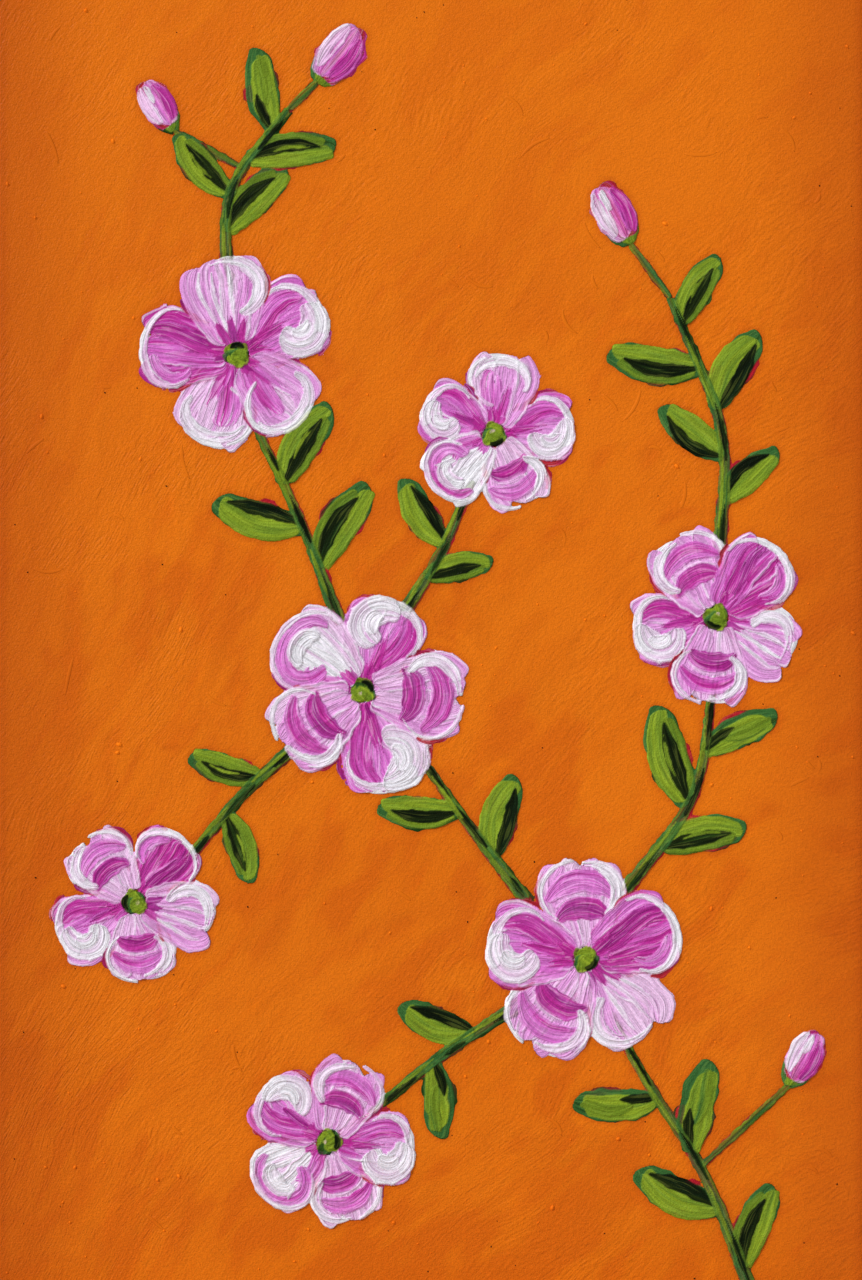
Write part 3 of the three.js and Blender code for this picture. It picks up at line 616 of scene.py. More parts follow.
def leaf_strokes(paint, owner, root, angle, length, draw, seed):
    """A dark shape behind, a light one over it, and a bold near-black crescent at the shaded side."""
    width = length * LEAF_WIDTH

    def spot(along, across):
        bend = 4 * LEAF_BOW * width * along * (1 - along)
        side = across * max(0.5, width / 2 * math.sin(math.pi * (0.1 + 0.86 * along))) + bend
        return turned(root, angle, along * length, side)

    def lengthwise(across, start=0.0, end=1.0, bulge=0.0, longer=0.0):
        if longer:
            end += longer * draw()
        shares = np.linspace(0, 1, 5)
        return [spot(start + (end - start) * t, across + bulge * math.sin(math.pi * t)) for t in shares]

    light = 1 if draw() < 0.5 else -1
    for side in (-1, 1):  # red underpaint shows beyond a part of the edge
        start = 0.12 + 0.4 * draw()
        line = lengthwise(side * 0.72, start, start + 0.2 + 0.3 * draw())
        look = LEAF_LOOK | dict(load=0.08, ridge=0, pick=0, swell=(0.4, 1, 1, 0.3), fray=0.3)
        brush(paint, owner, line, (0.17 + 0.07 * draw()) * width, "crimson dark", seed + side + 1, **look)
    base = FLAT | dict(swell=(0.5, 0.98, 1, 0.6))
    brush(paint, owner, lengthwise(0.05 * light), 0.5 * width - 0.1, "green dark", seed + 3, **base)
    chance = draw()
    kind = "lit" if chance < 0.4 else "veined" if chance < 0.75 else "broad"
    for step, (places, half, tints, look) in enumerate(LEAF_STROKES[kind]):
        across, start, end, bulge, longer = (*places, 0.0, 0.0)[:5]
        line = lengthwise(light * across, start, end, light * bulge, longer)
        brush(paint, owner, line, half * width, tints, seed + 4 + step, **look)
    if kind == "veined" and draw() < 0.6:
        look = LEAF_LOOK | dict(load=0.16, swell=(0.3, 1, 1, 0.4), dry=0.4)
        brush(paint, owner, lengthwise(0.0, 0.3, 0.72, 0.1), 0.05 * width, "lime leaf", seed + 7, **look)


def twig_strokes(paint, i):
    """A twig's stem, its buds' stalks and its leaves, with shade and light along the stem."""
    stem, _, _, stalks = TWIGS[i]
    owner = TWIG_OWNER + i
    draw = motif_stream(TWIG_SEED, i)
    line = smooth_line(stem, 3)
    taper = (1.15, 0.95, 0.8, 0.7)
    brush(paint, owner, line + np.array((0.3, -0.3)), STEM_HALF_WIDTH + 0.1, "crimson dark", 11 + i,
          load=0.1, groove=0.2, ridge=0, share=0.5, pick=0, swell=taper, wobble=0.25)
    for number, start in stalks:
        stalk_strokes(paint, owner, line, BUDS[number], start, 40 * i + number)
    for k, (root, angle, length) in enumerate(leaves_of(TWIGS[i])):
        leaf_strokes(paint, owner, root, angle, length, draw, 100 * (i + 3) + 10 * k)
    brush(paint, owner, line, STEM_HALF_WIDTH, "green leaf", 12 + i, load=0.3, share=0.35, swell=taper,
          bristle=0.5, lip="leaf", wobble=0.12)

    n = len(line)
    side = np.array((0.62, -0.3))
    streaks = dict(share=0.3, dry=0.5, bristle=0.4)
    for k, start in enumerate((0.0, 0.36, 0.68)):  # shade along one side of the stem
        a, b = int(n * (start + 0.08 * draw())), int(n * min(1, start + 0.22 + 0.12 * draw()))
        if b - a > 2:
            brush(paint, owner, line[a:b] + side, 0.42 * STEM_HALF_WIDTH, "black dark", 14 + 20 * k + i,
                  load=0.2, pick=0.1, swell=(0.5, 1, 1, 0.3), **streaks)
    for k, start in enumerate((0.12, 0.55)):  # light along the other
        a, b = int(n * start), int(n * min(1, start + 0.3))
        if b - a > 2:
            brush(paint, owner, line[a:b] - 1.1 * side, 0.3 * STEM_HALF_WIDTH, "lime leaf", 15 + 20 * k + i,
                  load=0.24, swell=(0.4, 1, 1, 0.4), **streaks)


def bud_spot(bud, along, across=0.0):
    """A place on a bud: towards its tip from its middle, and to its left."""
    return turned(bud, math.radians(bud[3]), along, across)


def stalk_strokes(paint, owner, line, bud, start, seed):
    """A bud's stalk, and the cup that holds the bud."""
    length = bud[2]
    base = bud_spot(bud, -length / 2 - CUP_DEPTH)
    root = on_line(line, start)[0]
    stalk = (root, ((root[0] + base[0]) / 2, (root[1] + base[1]) / 2), base)
    brush(paint, owner, stalk, STALK_HALF_WIDTH + 0.1, "crimson dark", seed + 60, load=0.1, ridge=0, pick=0,
          wobble=0.25)
    brush(paint, owner, stalk, STALK_HALF_WIDTH, "leaf green", seed + 61, load=0.32, bristle=0.5,
          wobble=0.12)
    # the cup: three sepals that fan out from the stalk's end
    sepals = ((0.75, 0.02, "green dark"), (-0.75, 0.02, "leaf green"), (0.0, -0.12, "lime leaf"))
    for k, (turn, reach, pair) in enumerate(sepals):
        wide = turn * length * BUD_WIDTH * 0.75
        tip = bud_spot(bud, reach * length, wide * 1.15)
        sepal = (base, bud_spot(bud, -0.36 * length, wide * 0.8), tip)
        brush(paint, owner, sepal, 0.14 * length, pair, seed + 70 + k, load=0.3, dry=0.2, ridge=0.08,
              swell=(0.7, 1, 0.9, 0.45), pick=0.1, wobble=0.12)


def bud_strokes(paint, i):
    """A bud, from its underpaint to the light on its tip."""
    bud = BUDS[i]
    length = bud[2]
    draw = motif_stream(BUD_SEED, i)

    def lengthwise(across, start=-0.5, end=0.5, bend=0.0):
        return [
            bud_spot(bud, (start + (end - start) * t) * length, BUD_WIDTH * length * (across + bend * lean))
            for t, lean in ((t, math.sin(math.pi * t)) for t in np.linspace(0, 1, 5))
        ]

    strokes = BUD_STROKES if draw() < 0.6 else BUD_STROKES[:-1]
    for k, (places, share, more, tints, look) in enumerate(strokes):
        half = share * (BUD_WIDTH * length) + more
        brush(paint, BUD_OWNER + i, lengthwise(*places), half, tints, 3000 + 53 * i + k, **look)


def painted_motifs(pitch, tints):
    """The whole picture, from the twigs behind to the blossoms' centres in front."""
    paint = Paint(MOTIFS_WIDE, MOTIFS_HIGH, pitch, tints)
    for strokes, motifs in (
        (twig_strokes, TWIGS), (bud_strokes, BUDS), (blossom_strokes, BLOSSOMS), (centre_strokes, BLOSSOMS)
    ):
        for i in range(len(motifs)):
            strokes(paint, i)
    return paint


# ------------------------------------------------------------------ the cloth's own measures

CLOTH_LOW, CLOTH_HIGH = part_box("canvas")
BAR_LOW, BAR_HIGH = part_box("stretcher_bar_top")
PICTURE_WIDTH = (CLOTH_HIGH.x - CLOTH_LOW.x) / MM
PICTURE_HEIGHT = (CLOTH_HIGH.z - CLOTH_LOW.z) / MM
MIDDLE_Z = (CLOTH_HIGH.z + CLOTH_LOW.z) / 2 / MM
FACE = CLOTH_LOW.y / MM
CLOTH = BAR_LOW.y / MM - FACE
BACK = BAR_HIGH.y / MM + CLOTH  # outside of the cloth's strip on the back
FLAP = 24  # width of that strip
FOLD_INSET = 0.6  # of the doubled cloth at the back's corners from the outline
HAIR = 0.01  # a distance too small to matter
ROUND_FRONT = 1.6
ROUND_BACK = 1.0
CORNER_STEPS = 4
THICKNESS = 1.35  # the dried strokes' height over what each stroke lays down
SUNK = 0.3  # how far a stroke's underside reaches into the cloth
CLEARANCE = 0.03  # between a stroke's thinnest paint and the coat under it
TORN = 2  # a jump in a stroke's own coordinates that only another stroke makes
SMALLEST = 60  # grid cells of the smallest spot of paint that stays
STROKE_CREASE, CLOTH_CREASE, SOLID_CREASE = 62, 40, 30  # degrees; a mesh is shaded smooth up to these
FLAT_ANGLE, BEVEL_ANGLE = 1, 35  # degrees; a solid's edges under the one go, those over the other are eased
BEVEL_STEPS = 2
CLOTH_WELD, SOLID_WELD = 0.00003, 0.00002  # metres; nearer points become one

GROUND_SEED, GRIT_SEED, CREST_SEED, THREAD_SEED = 90210, 31337, 5511, 4242
FIRST_SWEEP, FIRST_CUT = 7000, 8000  # numbers of the ground's strokes
FACE_INSET = (2.5, 3.3)  # what the flat face leaves of the picture's width and height for the rounded edges
SWEEP_SPACING = (34, 38)  # between the middles of the ground's broad strokes
GROUND_PAIRS = ("orange amber", "orange tawny", "tawny orange", "amber orange", "orange orange")
LEAF_SWEEP = ((0.15, 0.8), (0.55, 1), (1.02, 0.75), (1.12, 0.2))  # a cut-in stroke along a leaf's edge
SWEEP_WANDER = ((9, 55, 77), (2.6, 19, 78), (0.55, 6, 79))  # how far marks wander, over what, seed
MOTIF_SHADOW_REACH = 14  # how far from the motifs their distance is measured, for the painted shadow beside them

GRAINS = 260
GRIT_SIDES = 6
GRIT_RINGS = ((1.25, -0.35), (1.0, 0.2), (0.62, 0.78))  # radius and height of a grain's rings, in its sizes
GRIT_MARGIN = 3
# the grains are painted lighter than the coat: a painted highlight on their tops
GRAIN_HIGHLIGHT_TONE, CREST_TONE, SPECK_TONE = 1.12, 0.99, 0.25  # brightness beside the coat's or rust's
CRESTS = 70
CREST_STEPS = 12
CREST_HALF_WIDTH = 0.8
CREST_MARGIN = 12
CREST_PROFILE = ((-1, -0.35), (-0.45, 0.7), (0, 1), (0.5, 0.55), (1, -0.35))
THREADS = 520
THREAD_RADIUS = 0.11
THREAD_SIDES = 3
THREAD_STATIONS = (0.0, 0.35, 0.7, 1.0)


# ------------------------------------------------------------------ meshes


def mesh_object(name, points, faces):
    """A new object from points in millimetres, linked to the scene."""
    mesh = bpy.data.meshes.new(name)
    mesh.from_pydata((np.asarray(points) * MM).tolist(), [], [list(map(int, f)) for f in faces])
    made = bpy.data.objects.new(name, mesh)
    bpy.context.scene.collection.objects.link(made)
    return made


def only(obj):
    """Selects one object and makes it the active one."""
    bpy.ops.object.select_all(action="DESELECT")
    obj.select_set(True)
    bpy.context.view_layer.objects.active = obj


def linear(rgb):
    """Screen colours as the renderer's own, with a full alpha."""
    rgb = np.clip(np.asarray(rgb, float), 0, 1)
    low, high = rgb / 12.92, ((rgb + 0.055) / 1.055) ** 2.4
    out = np.where(rgb <= 0.04045, low, high)
    return np.concatenate([out, np.ones((*out.shape[:-1], 1))], axis=-1)


def set_colours(obj, name, colours):
    layer = obj.data.attributes.new(name, "FLOAT_COLOR", "POINT")
    layer.data.foreach_set("color", linear(colours).astype(np.float32).ravel())


def set_values(obj, name, values):
    layer = obj.data.attributes.new(name, "FLOAT", "POINT")
    layer.data.foreach_set("value", np.asarray(values, np.float32))


def set_corners(obj, name, places):
    """A UV map from one place for each corner of each face."""
    layer = obj.data.uv_layers.new(name=name)
    layer.data.foreach_set("uv", places.astype(np.float32).ravel())


def set_map(obj, name, places):
    """A UV map from one place for each point."""
    corner_of = np.empty(len(obj.data.loops), int)
    obj.data.loops.foreach_get("vertex_index", corner_of)
    set_corners(obj, name, np.asarray(places)[corner_of])


def close_up(obj, crease=None, weld=None):
    """Joins points nearer to each other than the weld, in metres, turns the faces outwards and shades them
    smooth, except at edges sharper than the crease."""
    only(obj)
    bpy.ops.object.mode_set(mode="EDIT")
    bpy.ops.mesh.select_all(action="SELECT")
    if weld:
        bpy.ops.mesh.remove_doubles(threshold=weld)
    bpy.ops.mesh.normals_make_consistent(inside=False)
    bpy.ops.object.mode_set(mode="OBJECT")
    if crease:
        bpy.ops.object.shade_smooth_by_angle(angle=math.radians(crease))
    else:
        bpy.ops.object.shade_smooth()


def tube_faces(start, sides, steps):
    """The faces between rings of points that follow one another."""
    return [
        (ring + j, ring + (j + 1) % sides, ring + (j + 1) % sides + sides, ring + j + sides)
        for ring in range(start, start + sides * steps, sides)
        for j in range(sides)
    ]


# ------------------------------------------------------------------ from wet paint to solid strokes


def between(paint, field, x, z):
    """A grid's values at any places, by their four neighbours."""
    c = np.clip((x - paint.x[0]) / paint.pitch, 0, len(paint.x) - 1.001)
    r = np.clip((z - paint.z[0]) / paint.pitch, 0, len(paint.z) - 1.001)
    i, j = r.astype(int), c.astype(int)
    u, v = c - j, r - i
    low = field[i, j] * (1 - u) + field[i, j + 1] * u
    high = field[i + 1, j] * (1 - u) + field[i + 1, j + 1] * u
    return low * (1 - v) + high * v


def hanging_together(mask, least):
    """A mask without the parts that hold fewer cells than the least."""
    tall, long = mask.shape
    rows = np.cumsum(~mask, axis=1) + (long + 1) * np.arange(tall)[:, None]
    cols = np.cumsum(~mask, axis=0) + (tall + 1) * np.arange(long)[None, :]
    left, kept = mask.copy(), np.zeros_like(mask)
    while left.any():
        found = np.zeros_like(mask)
        found[tuple(np.argwhere(left)[0])] = True
        size = 0
        while found.sum() > size:
            size = found.sum()
            for runs in (rows, cols):
                reached = np.zeros(runs.max() + 1, bool)
                reached[runs[found]] = True
                found = reached[runs] & mask
        left &= ~found
        if size >= least:
            kept |= found
    return kept


def cell_owners(paint):
    """Whose each cell is: whoever painted last at one of its corners."""
    last = np.where(paint.cover > OUTLINE, paint.owner, 0)
    return np.maximum.reduce([last[:-1, :-1], last[1:, :-1], last[:-1, 1:], last[1:, 1:]])


def outline_shift(cover, rows, cols):
    """How far each bare corner moves, in cells, to stand on the paint's outline."""
    shift = np.zeros((len(rows), 2))
    weight = np.zeros(len(rows))
    here = cover[rows, cols]
    last_row, last_col = cover.shape[0] - 1, cover.shape[1] - 1
    for steps in (((0, 1), (0, -1), (1, 0), (-1, 0)), ((1, 1), (1, -1), (-1, 1), (-1, -1))):
        need = weight == 0
        for dr, dc in steps:
            there = cover[np.clip(rows + dr, 0, last_row), np.clip(cols + dc, 0, last_col)]
            wet = need & (there > OUTLINE)
            share = np.where(wet, (OUTLINE - here) / np.maximum(there - here, 0.05), 0)
            shift += np.clip(share, 0, 0.95)[:, None] * wet[:, None] * np.array((dc, dr))
            weight += wet
    return shift / np.maximum(weight, 1)[:, None]


def lie_of_strokes(lay, flat, cover):
    """Stroke coordinates for each face's corners. A face that two strokes share follows one."""
    corner = np.arange(len(lay)), np.argmax(cover, axis=1)
    carried_on = lay[corner][:, None] + flat - flat[corner][:, None]
    torn = np.abs(lay - lay[corner][:, None]).max(axis=(1, 2)) > TORN
    return np.where(torn[:, None, None], carried_on, lay)


def paint_piece(name, paint, owners, owner, ground):
    """One piece of raised paint: a closed mesh with its colours and the lie of its strokes."""
    mask = owners == owner
    rows, cols = np.nonzero(mask)
    top, left = rows.min() - 2, cols.min() - 2
    mask = np.pad(mask, 2)[top + 2:rows.max() + 5, left + 2:cols.max() + 5]
    mask = hanging_together(mask, SMALLEST)
    r, c = np.nonzero(mask)
    corners = np.stack([np.stack([r + dr, c + dc], -1) for dr, dc in ((0, 0), (0, 1), (1, 1), (1, 0))], 1)
    corners += (top, left)
    used, faces = np.unique(corners[..., 0] * len(paint.x) + corners[..., 1], return_inverse=True)
    faces = faces.reshape(-1, 4)
    rows, cols = np.divmod(used, len(paint.x))

    x, z = paint.x[cols], paint.z[rows]
    height = THICKNESS * paint.height[rows, cols]
    bare = paint.cover[rows, cols] <= OUTLINE
    shift = outline_shift(paint.cover, rows[bare], cols[bare])
    x[bare] += paint.pitch * shift[:, 0]
    z[bare] += paint.pitch * shift[:, 1]
    height = height + CLEARANCE + between(ground, ground.height, x, z)
    points = np.column_stack([x, FACE - height, MIDDLE_Z + z])

    piece = mesh_object(name, points, faces)
    set_colours(piece, "pigment", paint.colour[rows, cols])
    flat = np.column_stack([x, z])
    lie = lie_of_strokes(paint.lay[rows, cols][faces], flat[faces], paint.cover[rows, cols][faces])
    set_corners(piece, "lay", lie)
    set_map(piece, "sheet", flat)

    # walls down into the cloth, and an underside
    only(piece)
    bpy.ops.object.mode_set(mode="EDIT")
    bpy.ops.mesh.select_mode(type="EDGE")
    bpy.ops.mesh.select_all(action="DESELECT")
    bpy.ops.mesh.select_non_manifold(
        extend=False, use_wire=False, use_multi_face=False, use_non_contiguous=False, use_verts=False
    )
    bpy.ops.mesh.extrude_region_move(TRANSFORM_OT_translate={"value": (0, MM, 0)})
    bpy.ops.transform.resize(value=(1, 0, 1), center_override=(0, (FACE + SUNK) * MM, 0))
    bpy.ops.mesh.fill(use_beauty=False)
    bpy.ops.object.mode_set(mode="OBJECT")
    close_up(piece, STROKE_CREASE)
    return piece


# ------------------------------------------------------------------ the orange ground


def ground_coat(pitch, tints):
    """Broad strokes of orange over the whole face, then narrower ones cut in along each motif's edge."""
    ground = Paint(PICTURE_WIDTH - FACE_INSET[0], PICTURE_HEIGHT - FACE_INSET[1], pitch, tints)
    ground.colour[:] = tints["orange"]
    ground.cover[:] = 1
    draw = random_stream(GROUND_SEED)
    wide, high = PICTURE_WIDTH / 2, PICTURE_HEIGHT / 2
    columns = np.arange(-wide, wide + 20, SWEEP_SPACING[0])
    places = [(x, z) for x in columns for z in np.arange(-high, high + 30, SWEEP_SPACING[1])]
    order = sorted(range(len(places)), key=lambda _: draw())
    for k in order:
        x, z = places[k]
        x, z = x + 24 * (draw() - 0.5), z + 28 * (draw() - 0.5)
        middle = (x, z)
        rise = 48 + 34 * (0.5 - x / wide / 2) + 26 * (draw() - 0.5)  # steeper towards the left
        if z < -0.45 * high:
            rise = 18 + 40 * draw()
        angle, reach = math.radians(rise), 26 + 34 * draw()
        bend = 26 * (draw() - 0.5)
        line = (turned(middle, angle, -reach), turned(middle, angle, 0, bend), turned(middle, angle, reach))
        half, pair = 11 + 9 * draw(), GROUND_PAIRS[int(len(GROUND_PAIRS) * draw())]
        brush(ground, 1, line, half, pair, FIRST_SWEEP + k, load=0.03, groove=0.8, ridge=0.045, dry=0.9,
              pick=0.8, bristle=3.4, fray=0.6)

    k = FIRST_CUT

    def cut_in(line, half):
        """A stroke of ground laid along a motif's edge."""
        nonlocal k
        k += 1
        pair = "orange " + GROUND_PAIRS[k % len(GROUND_PAIRS)].split()[1]
        brush(ground, 1, line, half, pair, k, load=0.04, groove=0.8, ridge=0.08, dry=0.6, pick=0.6,
              bristle=1.8, fray=0.5)

    for blossom in BLOSSOMS:
        for petal in petals_of(blossom):
            out = 1 + (4.5 + 1.5 * draw()) / (PETAL_WIDTH * petal[1])
            cut_in([belly_spot(blossom, petal, turn, out, 1) for turn in np.linspace(-0.62, 0.62, 7)], 4.5)
    for twig in TWIGS:
        line = smooth_line(twig[0], 6)
        along = np.gradient(line, axis=0)
        along /= np.hypot(*along.T)[:, None]
        for side in (-6.5, 6.5):
            cut_in(line + side * np.column_stack([-along[:, 1], along[:, 0]]), 4)
        for root, angle, length in leaves_of(twig):
            for side in (-1, 1):
                away = side * (0.5 * LEAF_WIDTH * length + 4)
                cut_in([turned(root, angle, a * length, w * away) for a, w in LEAF_SWEEP], 3.6)
    return ground


def distance_to(mask, pitch, reach):
    """How far each place of a grid is from the mask, up to the reach."""
    far = (reach + pitch) ** 2
    near = np.where(mask, 0.0, far)
    for axis in (0, 1):
        best = near.copy()
        for k in range(1, int(reach / pitch) + 1):
            for step in (k, -k):
                best = np.minimum(best, np.roll(near, step, axis) + (k * pitch) ** 2)
        near = best
    return np.sqrt(np.minimum(near, reach**2))


# ------------------------------------------------------------------ the cloth round its bars


def outward(ground):
    """For each point of a loop round the picture, the way out of it. Corners hold a few more points."""
    turns = np.linspace(0, math.pi / 2, CORNER_STEPS + 1)[1:-1]
    ways = []
    for k in range(4):
        n = (len(ground.z), len(ground.x))[k % 2]
        start = k * math.pi / 2
        ways += [(math.cos(start), math.sin(start))] * n
        ways += [(math.cos(start + a), math.sin(start + a)) for a in turns]
    return np.array(ways)


def wrap_ring(wide, high, radius, y, ground, ways):
    """A loop of points round the picture, as many as the ground's grid has at its edge."""
    u, v = np.linspace(-1, 1, len(ground.x)), np.linspace(-1, 1, len(ground.z))
    flat_x, flat_z = wide - radius, high - radius
    sides = (
        (np.full(len(v), flat_x), v * flat_z),
        (-u * flat_x, np.full(len(u), flat_z)),
        (np.full(len(v), -flat_x), -v * flat_z),
        (u * flat_x, np.full(len(u), -flat_z)),
    )
    points = []
    for x, z in sides:
        points.append(np.column_stack([x, z]))
        points.append(np.repeat([(x[-1], z[-1])], CORNER_STEPS - 1, axis=0))
    points = np.vstack(points) + radius * ways
    return np.column_stack([points[:, 0], np.full(len(points), float(y)), points[:, 1]])


def cloth_rings(x0, z0):
    """Half width, half height, corner radius and Y of each loop, from the face round to the raw edge."""
    wide, high = PICTURE_WIDTH / 2, PICTURE_HEIGHT / 2
    rings = []
    for a in np.radians((22.5, 45, 67.5, 90)):
        s = math.sin(a)
        y = FACE + ROUND_FRONT * (1 - math.cos(a))
        rings.append((x0 + (wide - x0) * s, z0 + (high - z0) * s, (wide - x0) * s, y))
    for y in np.linspace(FACE + ROUND_FRONT, BACK - ROUND_BACK, 8)[1:]:
        rings.append((wide, high, wide - x0, y))
    for a in np.radians((45, 90)):
        g = ROUND_BACK * (1 - math.cos(a))
        rings.append((wide - g, high - g, max(wide - x0 - g, 0.02), BACK - ROUND_BACK * (1 - math.sin(a))))
    for g in np.linspace(ROUND_BACK, FLAP, 8)[1:]:
        rings.append((wide - g, high - g, 0.01, BACK))
    return rings


def cloth_mesh(ground, motifs):
    """The sheet as one closed mesh: the painted face, the sides, the strip behind and the bare inside."""
    nx, nz = len(ground.x), len(ground.z)
    gx, gz = np.meshgrid(ground.x, ground.z)
    face = np.column_stack([gx.ravel(), FACE - ground.height.ravel(), gz.ravel()])
    index = np.arange(nx * nz).reshape(nz, nx)
    quads = np.stack([index[:-1, :-1], index[:-1, 1:], index[1:, 1:], index[1:, :-1]], -1).reshape(-1, 4)
    points, faces = [face], [quads]
    sheet = [np.column_stack([gx.ravel(), gz.ravel()])]

    rim = np.concatenate([index[:, -1], index[-1, ::-1], index[::-1, 0], index[0, :]])
    per_side = (nz, nx, nz, nx)
    loop, at = [], 0
    for n in per_side:
        loop += list(rim[at:at + n]) + [rim[at + n - 1]] * (CORNER_STEPS - 1)
        at += n
    loop = np.array(loop)
    ways = outward(ground)

    wide, high = PICTURE_WIDTH / 2, PICTURE_HEIGHT / 2
    rings = cloth_rings(ground.x[-1], ground.z[-1])
    count = nx * nz
    previous, gone = loop, 0.0
    last = (ground.x[-1], FACE)

    def add_ring(ring, places):
        """Another loop of points, with faces between it and the one before."""
        nonlocal count, previous
        points.append(ring)
        sheet.append(places)
        current = count + np.arange(len(ring))
        faces.append(np.stack([previous, current, np.roll(current, -1), np.roll(previous, -1)], -1))
        count, previous = count + len(ring), current

    for w, h, radius, y in rings:
        ring = wrap_ring(w, h, radius, y, ground, ways)
        if y >= BACK - HAIR:  # the doubled corner of the top and bottom strips
            over = (np.abs(ring[:, 2]) - (high - FLAP) >= np.abs(ring[:, 0]) - (wide - FLAP) - HAIR)
            over &= (np.abs(ring[:, 0]) >= wide - FLAP) & (np.abs(ring[:, 2]) <= high - FOLD_INSET)
            ring[over, 1] += CLOTH
        gone += math.dist(last, (w, y))
        last = (w, y)
        add_ring(ring, sheet[0][loop] + gone * ways)
    outer_count = count

    # the raw edge and the inside, flat against the bars
    raw = points[-1].copy()
    raw[:, 1] = BACK - CLOTH
    add_ring(raw, sheet[-1])
    inner_wide, inner_high = wide - CLOTH, high - CLOTH
    box = np.array([
        (sx * inner_wide, y, sz * inner_high)
        for y in (BACK - CLOTH, FACE + CLOTH)
        for sx, sz in ((1, -1), (1, 1), (-1, 1), (-1, -1))
    ])
    points.append(box)
    sheet.append(box[:, ::2])
    back, front = count + np.arange(4), count + 4 + np.arange(4)
    polygons = []
    starts = np.cumsum([0] + [n + CORNER_STEPS - 1 for n in per_side])
    for k in range(4):
        strip = previous[starts[k]:starts[k] + per_side[k]]
        polygons.append([*strip[::-1], back[k], back[(k + 1) % 4]])
        polygons.append([back[(k + 1) % 4], back[k], front[k], front[(k + 1) % 4]])
    polygons.append([front[3], front[2], front[1], front[0]])

    all_points = np.vstack(points)
    all_points[:, 2] += MIDDLE_Z
    all_faces = [f for block in faces for f in block.tolist()] + polygons
    cloth = mesh_object("painted_canvas", all_points, all_faces)
    flat = np.vstack(sheet)
    set_map(cloth, "sheet", flat)

    count = nx * nz
    # distance to the motifs, for the painted shadow line beside them
    near = np.full(len(all_points), float(MOTIF_SHADOW_REACH))
    away = distance_to(motifs.cover > OUTLINE, motifs.pitch, MOTIF_SHADOW_REACH)
    near[:count] = between(motifs, away, gx.ravel(), gz.ravel())
    coat = np.tile(ground.tints["orange"], (len(all_points), 1))
    coat[:count] = ground.colour.reshape(-1, 3)
    for k in range(len(rings)):
        start = count + k * len(loop)
        coat[start:start + len(loop)] = ground.colour.reshape(-1, 3)[loop]
    set_colours(cloth, "pigment", weathered(coat, flat, near, ground.tints))
    set_map(cloth, "sweep", swept(flat))
    x, z = flat.T
    pressed = noise(x / 31, z / 31, 84) + 0.5 * noise(x / 11, z / 11, 85)
    set_values(cloth, "pressed", 0.35 + 0.65 * ramp(pressed, -0.4, 0.7))
    inside = np.zeros(len(all_points))
    inside[outer_count:] = 1
    set_values(cloth, "bare", inside)

    close_up(cloth, CLOTH_CREASE, CLOTH_WELD)
    return cloth


def swept(flat):
    """Places across and along the ground's brush marks, which rise to the right, steeply at the left."""
    x, z = flat[:, 0], flat[:, 1]
    wide = PICTURE_WIDTH / 2
    across = 0.86 * x - 0.17 * x * x / wide - 0.72 * z
    across += sum(depth * noise(x / size, z / size, seed) for depth, size, seed in SWEEP_WANDER)
    along = 0.72 * x + 0.8 * z
    return np.column_stack([across, along])


def grit(motifs):
    """Grains caught under the ground coat and a few dark specks on it, as low domes clear of the motifs.

    The tones say how bright each point is beside the coat, with nothing for a speck; the grains' tone is a
    painted highlight.
    """
    draw = random_stream(GRIT_SEED)
    points, faces, tones = [], [], []
    wide, high = PICTURE_WIDTH / 2 - GRIT_MARGIN, PICTURE_HEIGHT / 2 - GRIT_MARGIN
    sides = GRIT_SIDES
    for _ in range(GRAINS):
        x, z = wide * (2 * draw() - 1), high * (2 * draw() - 1)
        dark = draw() < 0.3
        size = 0.15 + 0.12 * draw() if dark else 0.27 + 0.4 * draw() ** 3
        longer, turn = 1 + 0.7 * draw(), math.pi * draw()
        if between(motifs, motifs.cover, np.array([x]), np.array([z]))[0] > 0:
            continue
        start = len(points)
        for out, rise in GRIT_RINGS:
            for j in range(sides):
                a = 2 * math.pi * j / sides
                u, v = out * size * math.cos(a), out * size * longer * math.sin(a)
                px, pz = turned((x, z), turn, u, v)
                points.append((px, rise * size, pz))
        points.append((x, size, z))
        top = start + (len(GRIT_RINGS) - 1) * sides
        faces += tube_faces(start, sides, len(GRIT_RINGS) - 1)
        faces += [(top + j, top + (j + 1) % sides, top + sides) for j in range(sides)]
        faces.append(tuple(start + j for j in reversed(range(sides))))
        tones += [0.0 if dark else GRAIN_HIGHLIGHT_TONE] * (len(points) - start)
    return np.array(points), faces, np.array(tones)


def crests(motifs):
    """Short ridges that a brush's edge pushed up in the coat, as low closed strips clear of the motifs."""
    draw = random_stream(CREST_SEED)
    points, faces = [], []
    wide, high = PICTURE_WIDTH / 2 - CREST_MARGIN, PICTURE_HEIGHT / 2 - CREST_MARGIN
    sides = len(CREST_PROFILE)
    for _ in range(CRESTS):
        x, z = wide * (2 * draw() - 1), high * (2 * draw() - 1)
        turn, bend = math.pi * draw(), 0.36 * (draw() - 0.5)
        length, rise = 4 + 10 * draw() ** 2, 0.09 + 0.1 * draw()
        strip = []
        for t in np.linspace(-1, 1, CREST_STEPS + 1):
            swell = 0.15 + 0.85 * math.sqrt(max(0, 1 - t * t))
            for aside, up in CREST_PROFILE:
                u, v = 0.5 * length * t, bend * length * t * t + CREST_HALF_WIDTH * swell * aside
                px, pz = turned((x, z), turn, u, v)
                strip.append((px, rise * swell * up, pz))
        spots = np.array(strip)
        if between(motifs, motifs.cover, spots[:, 0], spots[:, 2]).max() > 0:
            continue
        start, end = len(points), len(points) + sides * CREST_STEPS
        points += strip
        faces += tube_faces(start, sides, CREST_STEPS)
        faces += [tuple(reversed(range(start, start + sides))), tuple(range(end, end + sides))]
    return np.array(points), faces


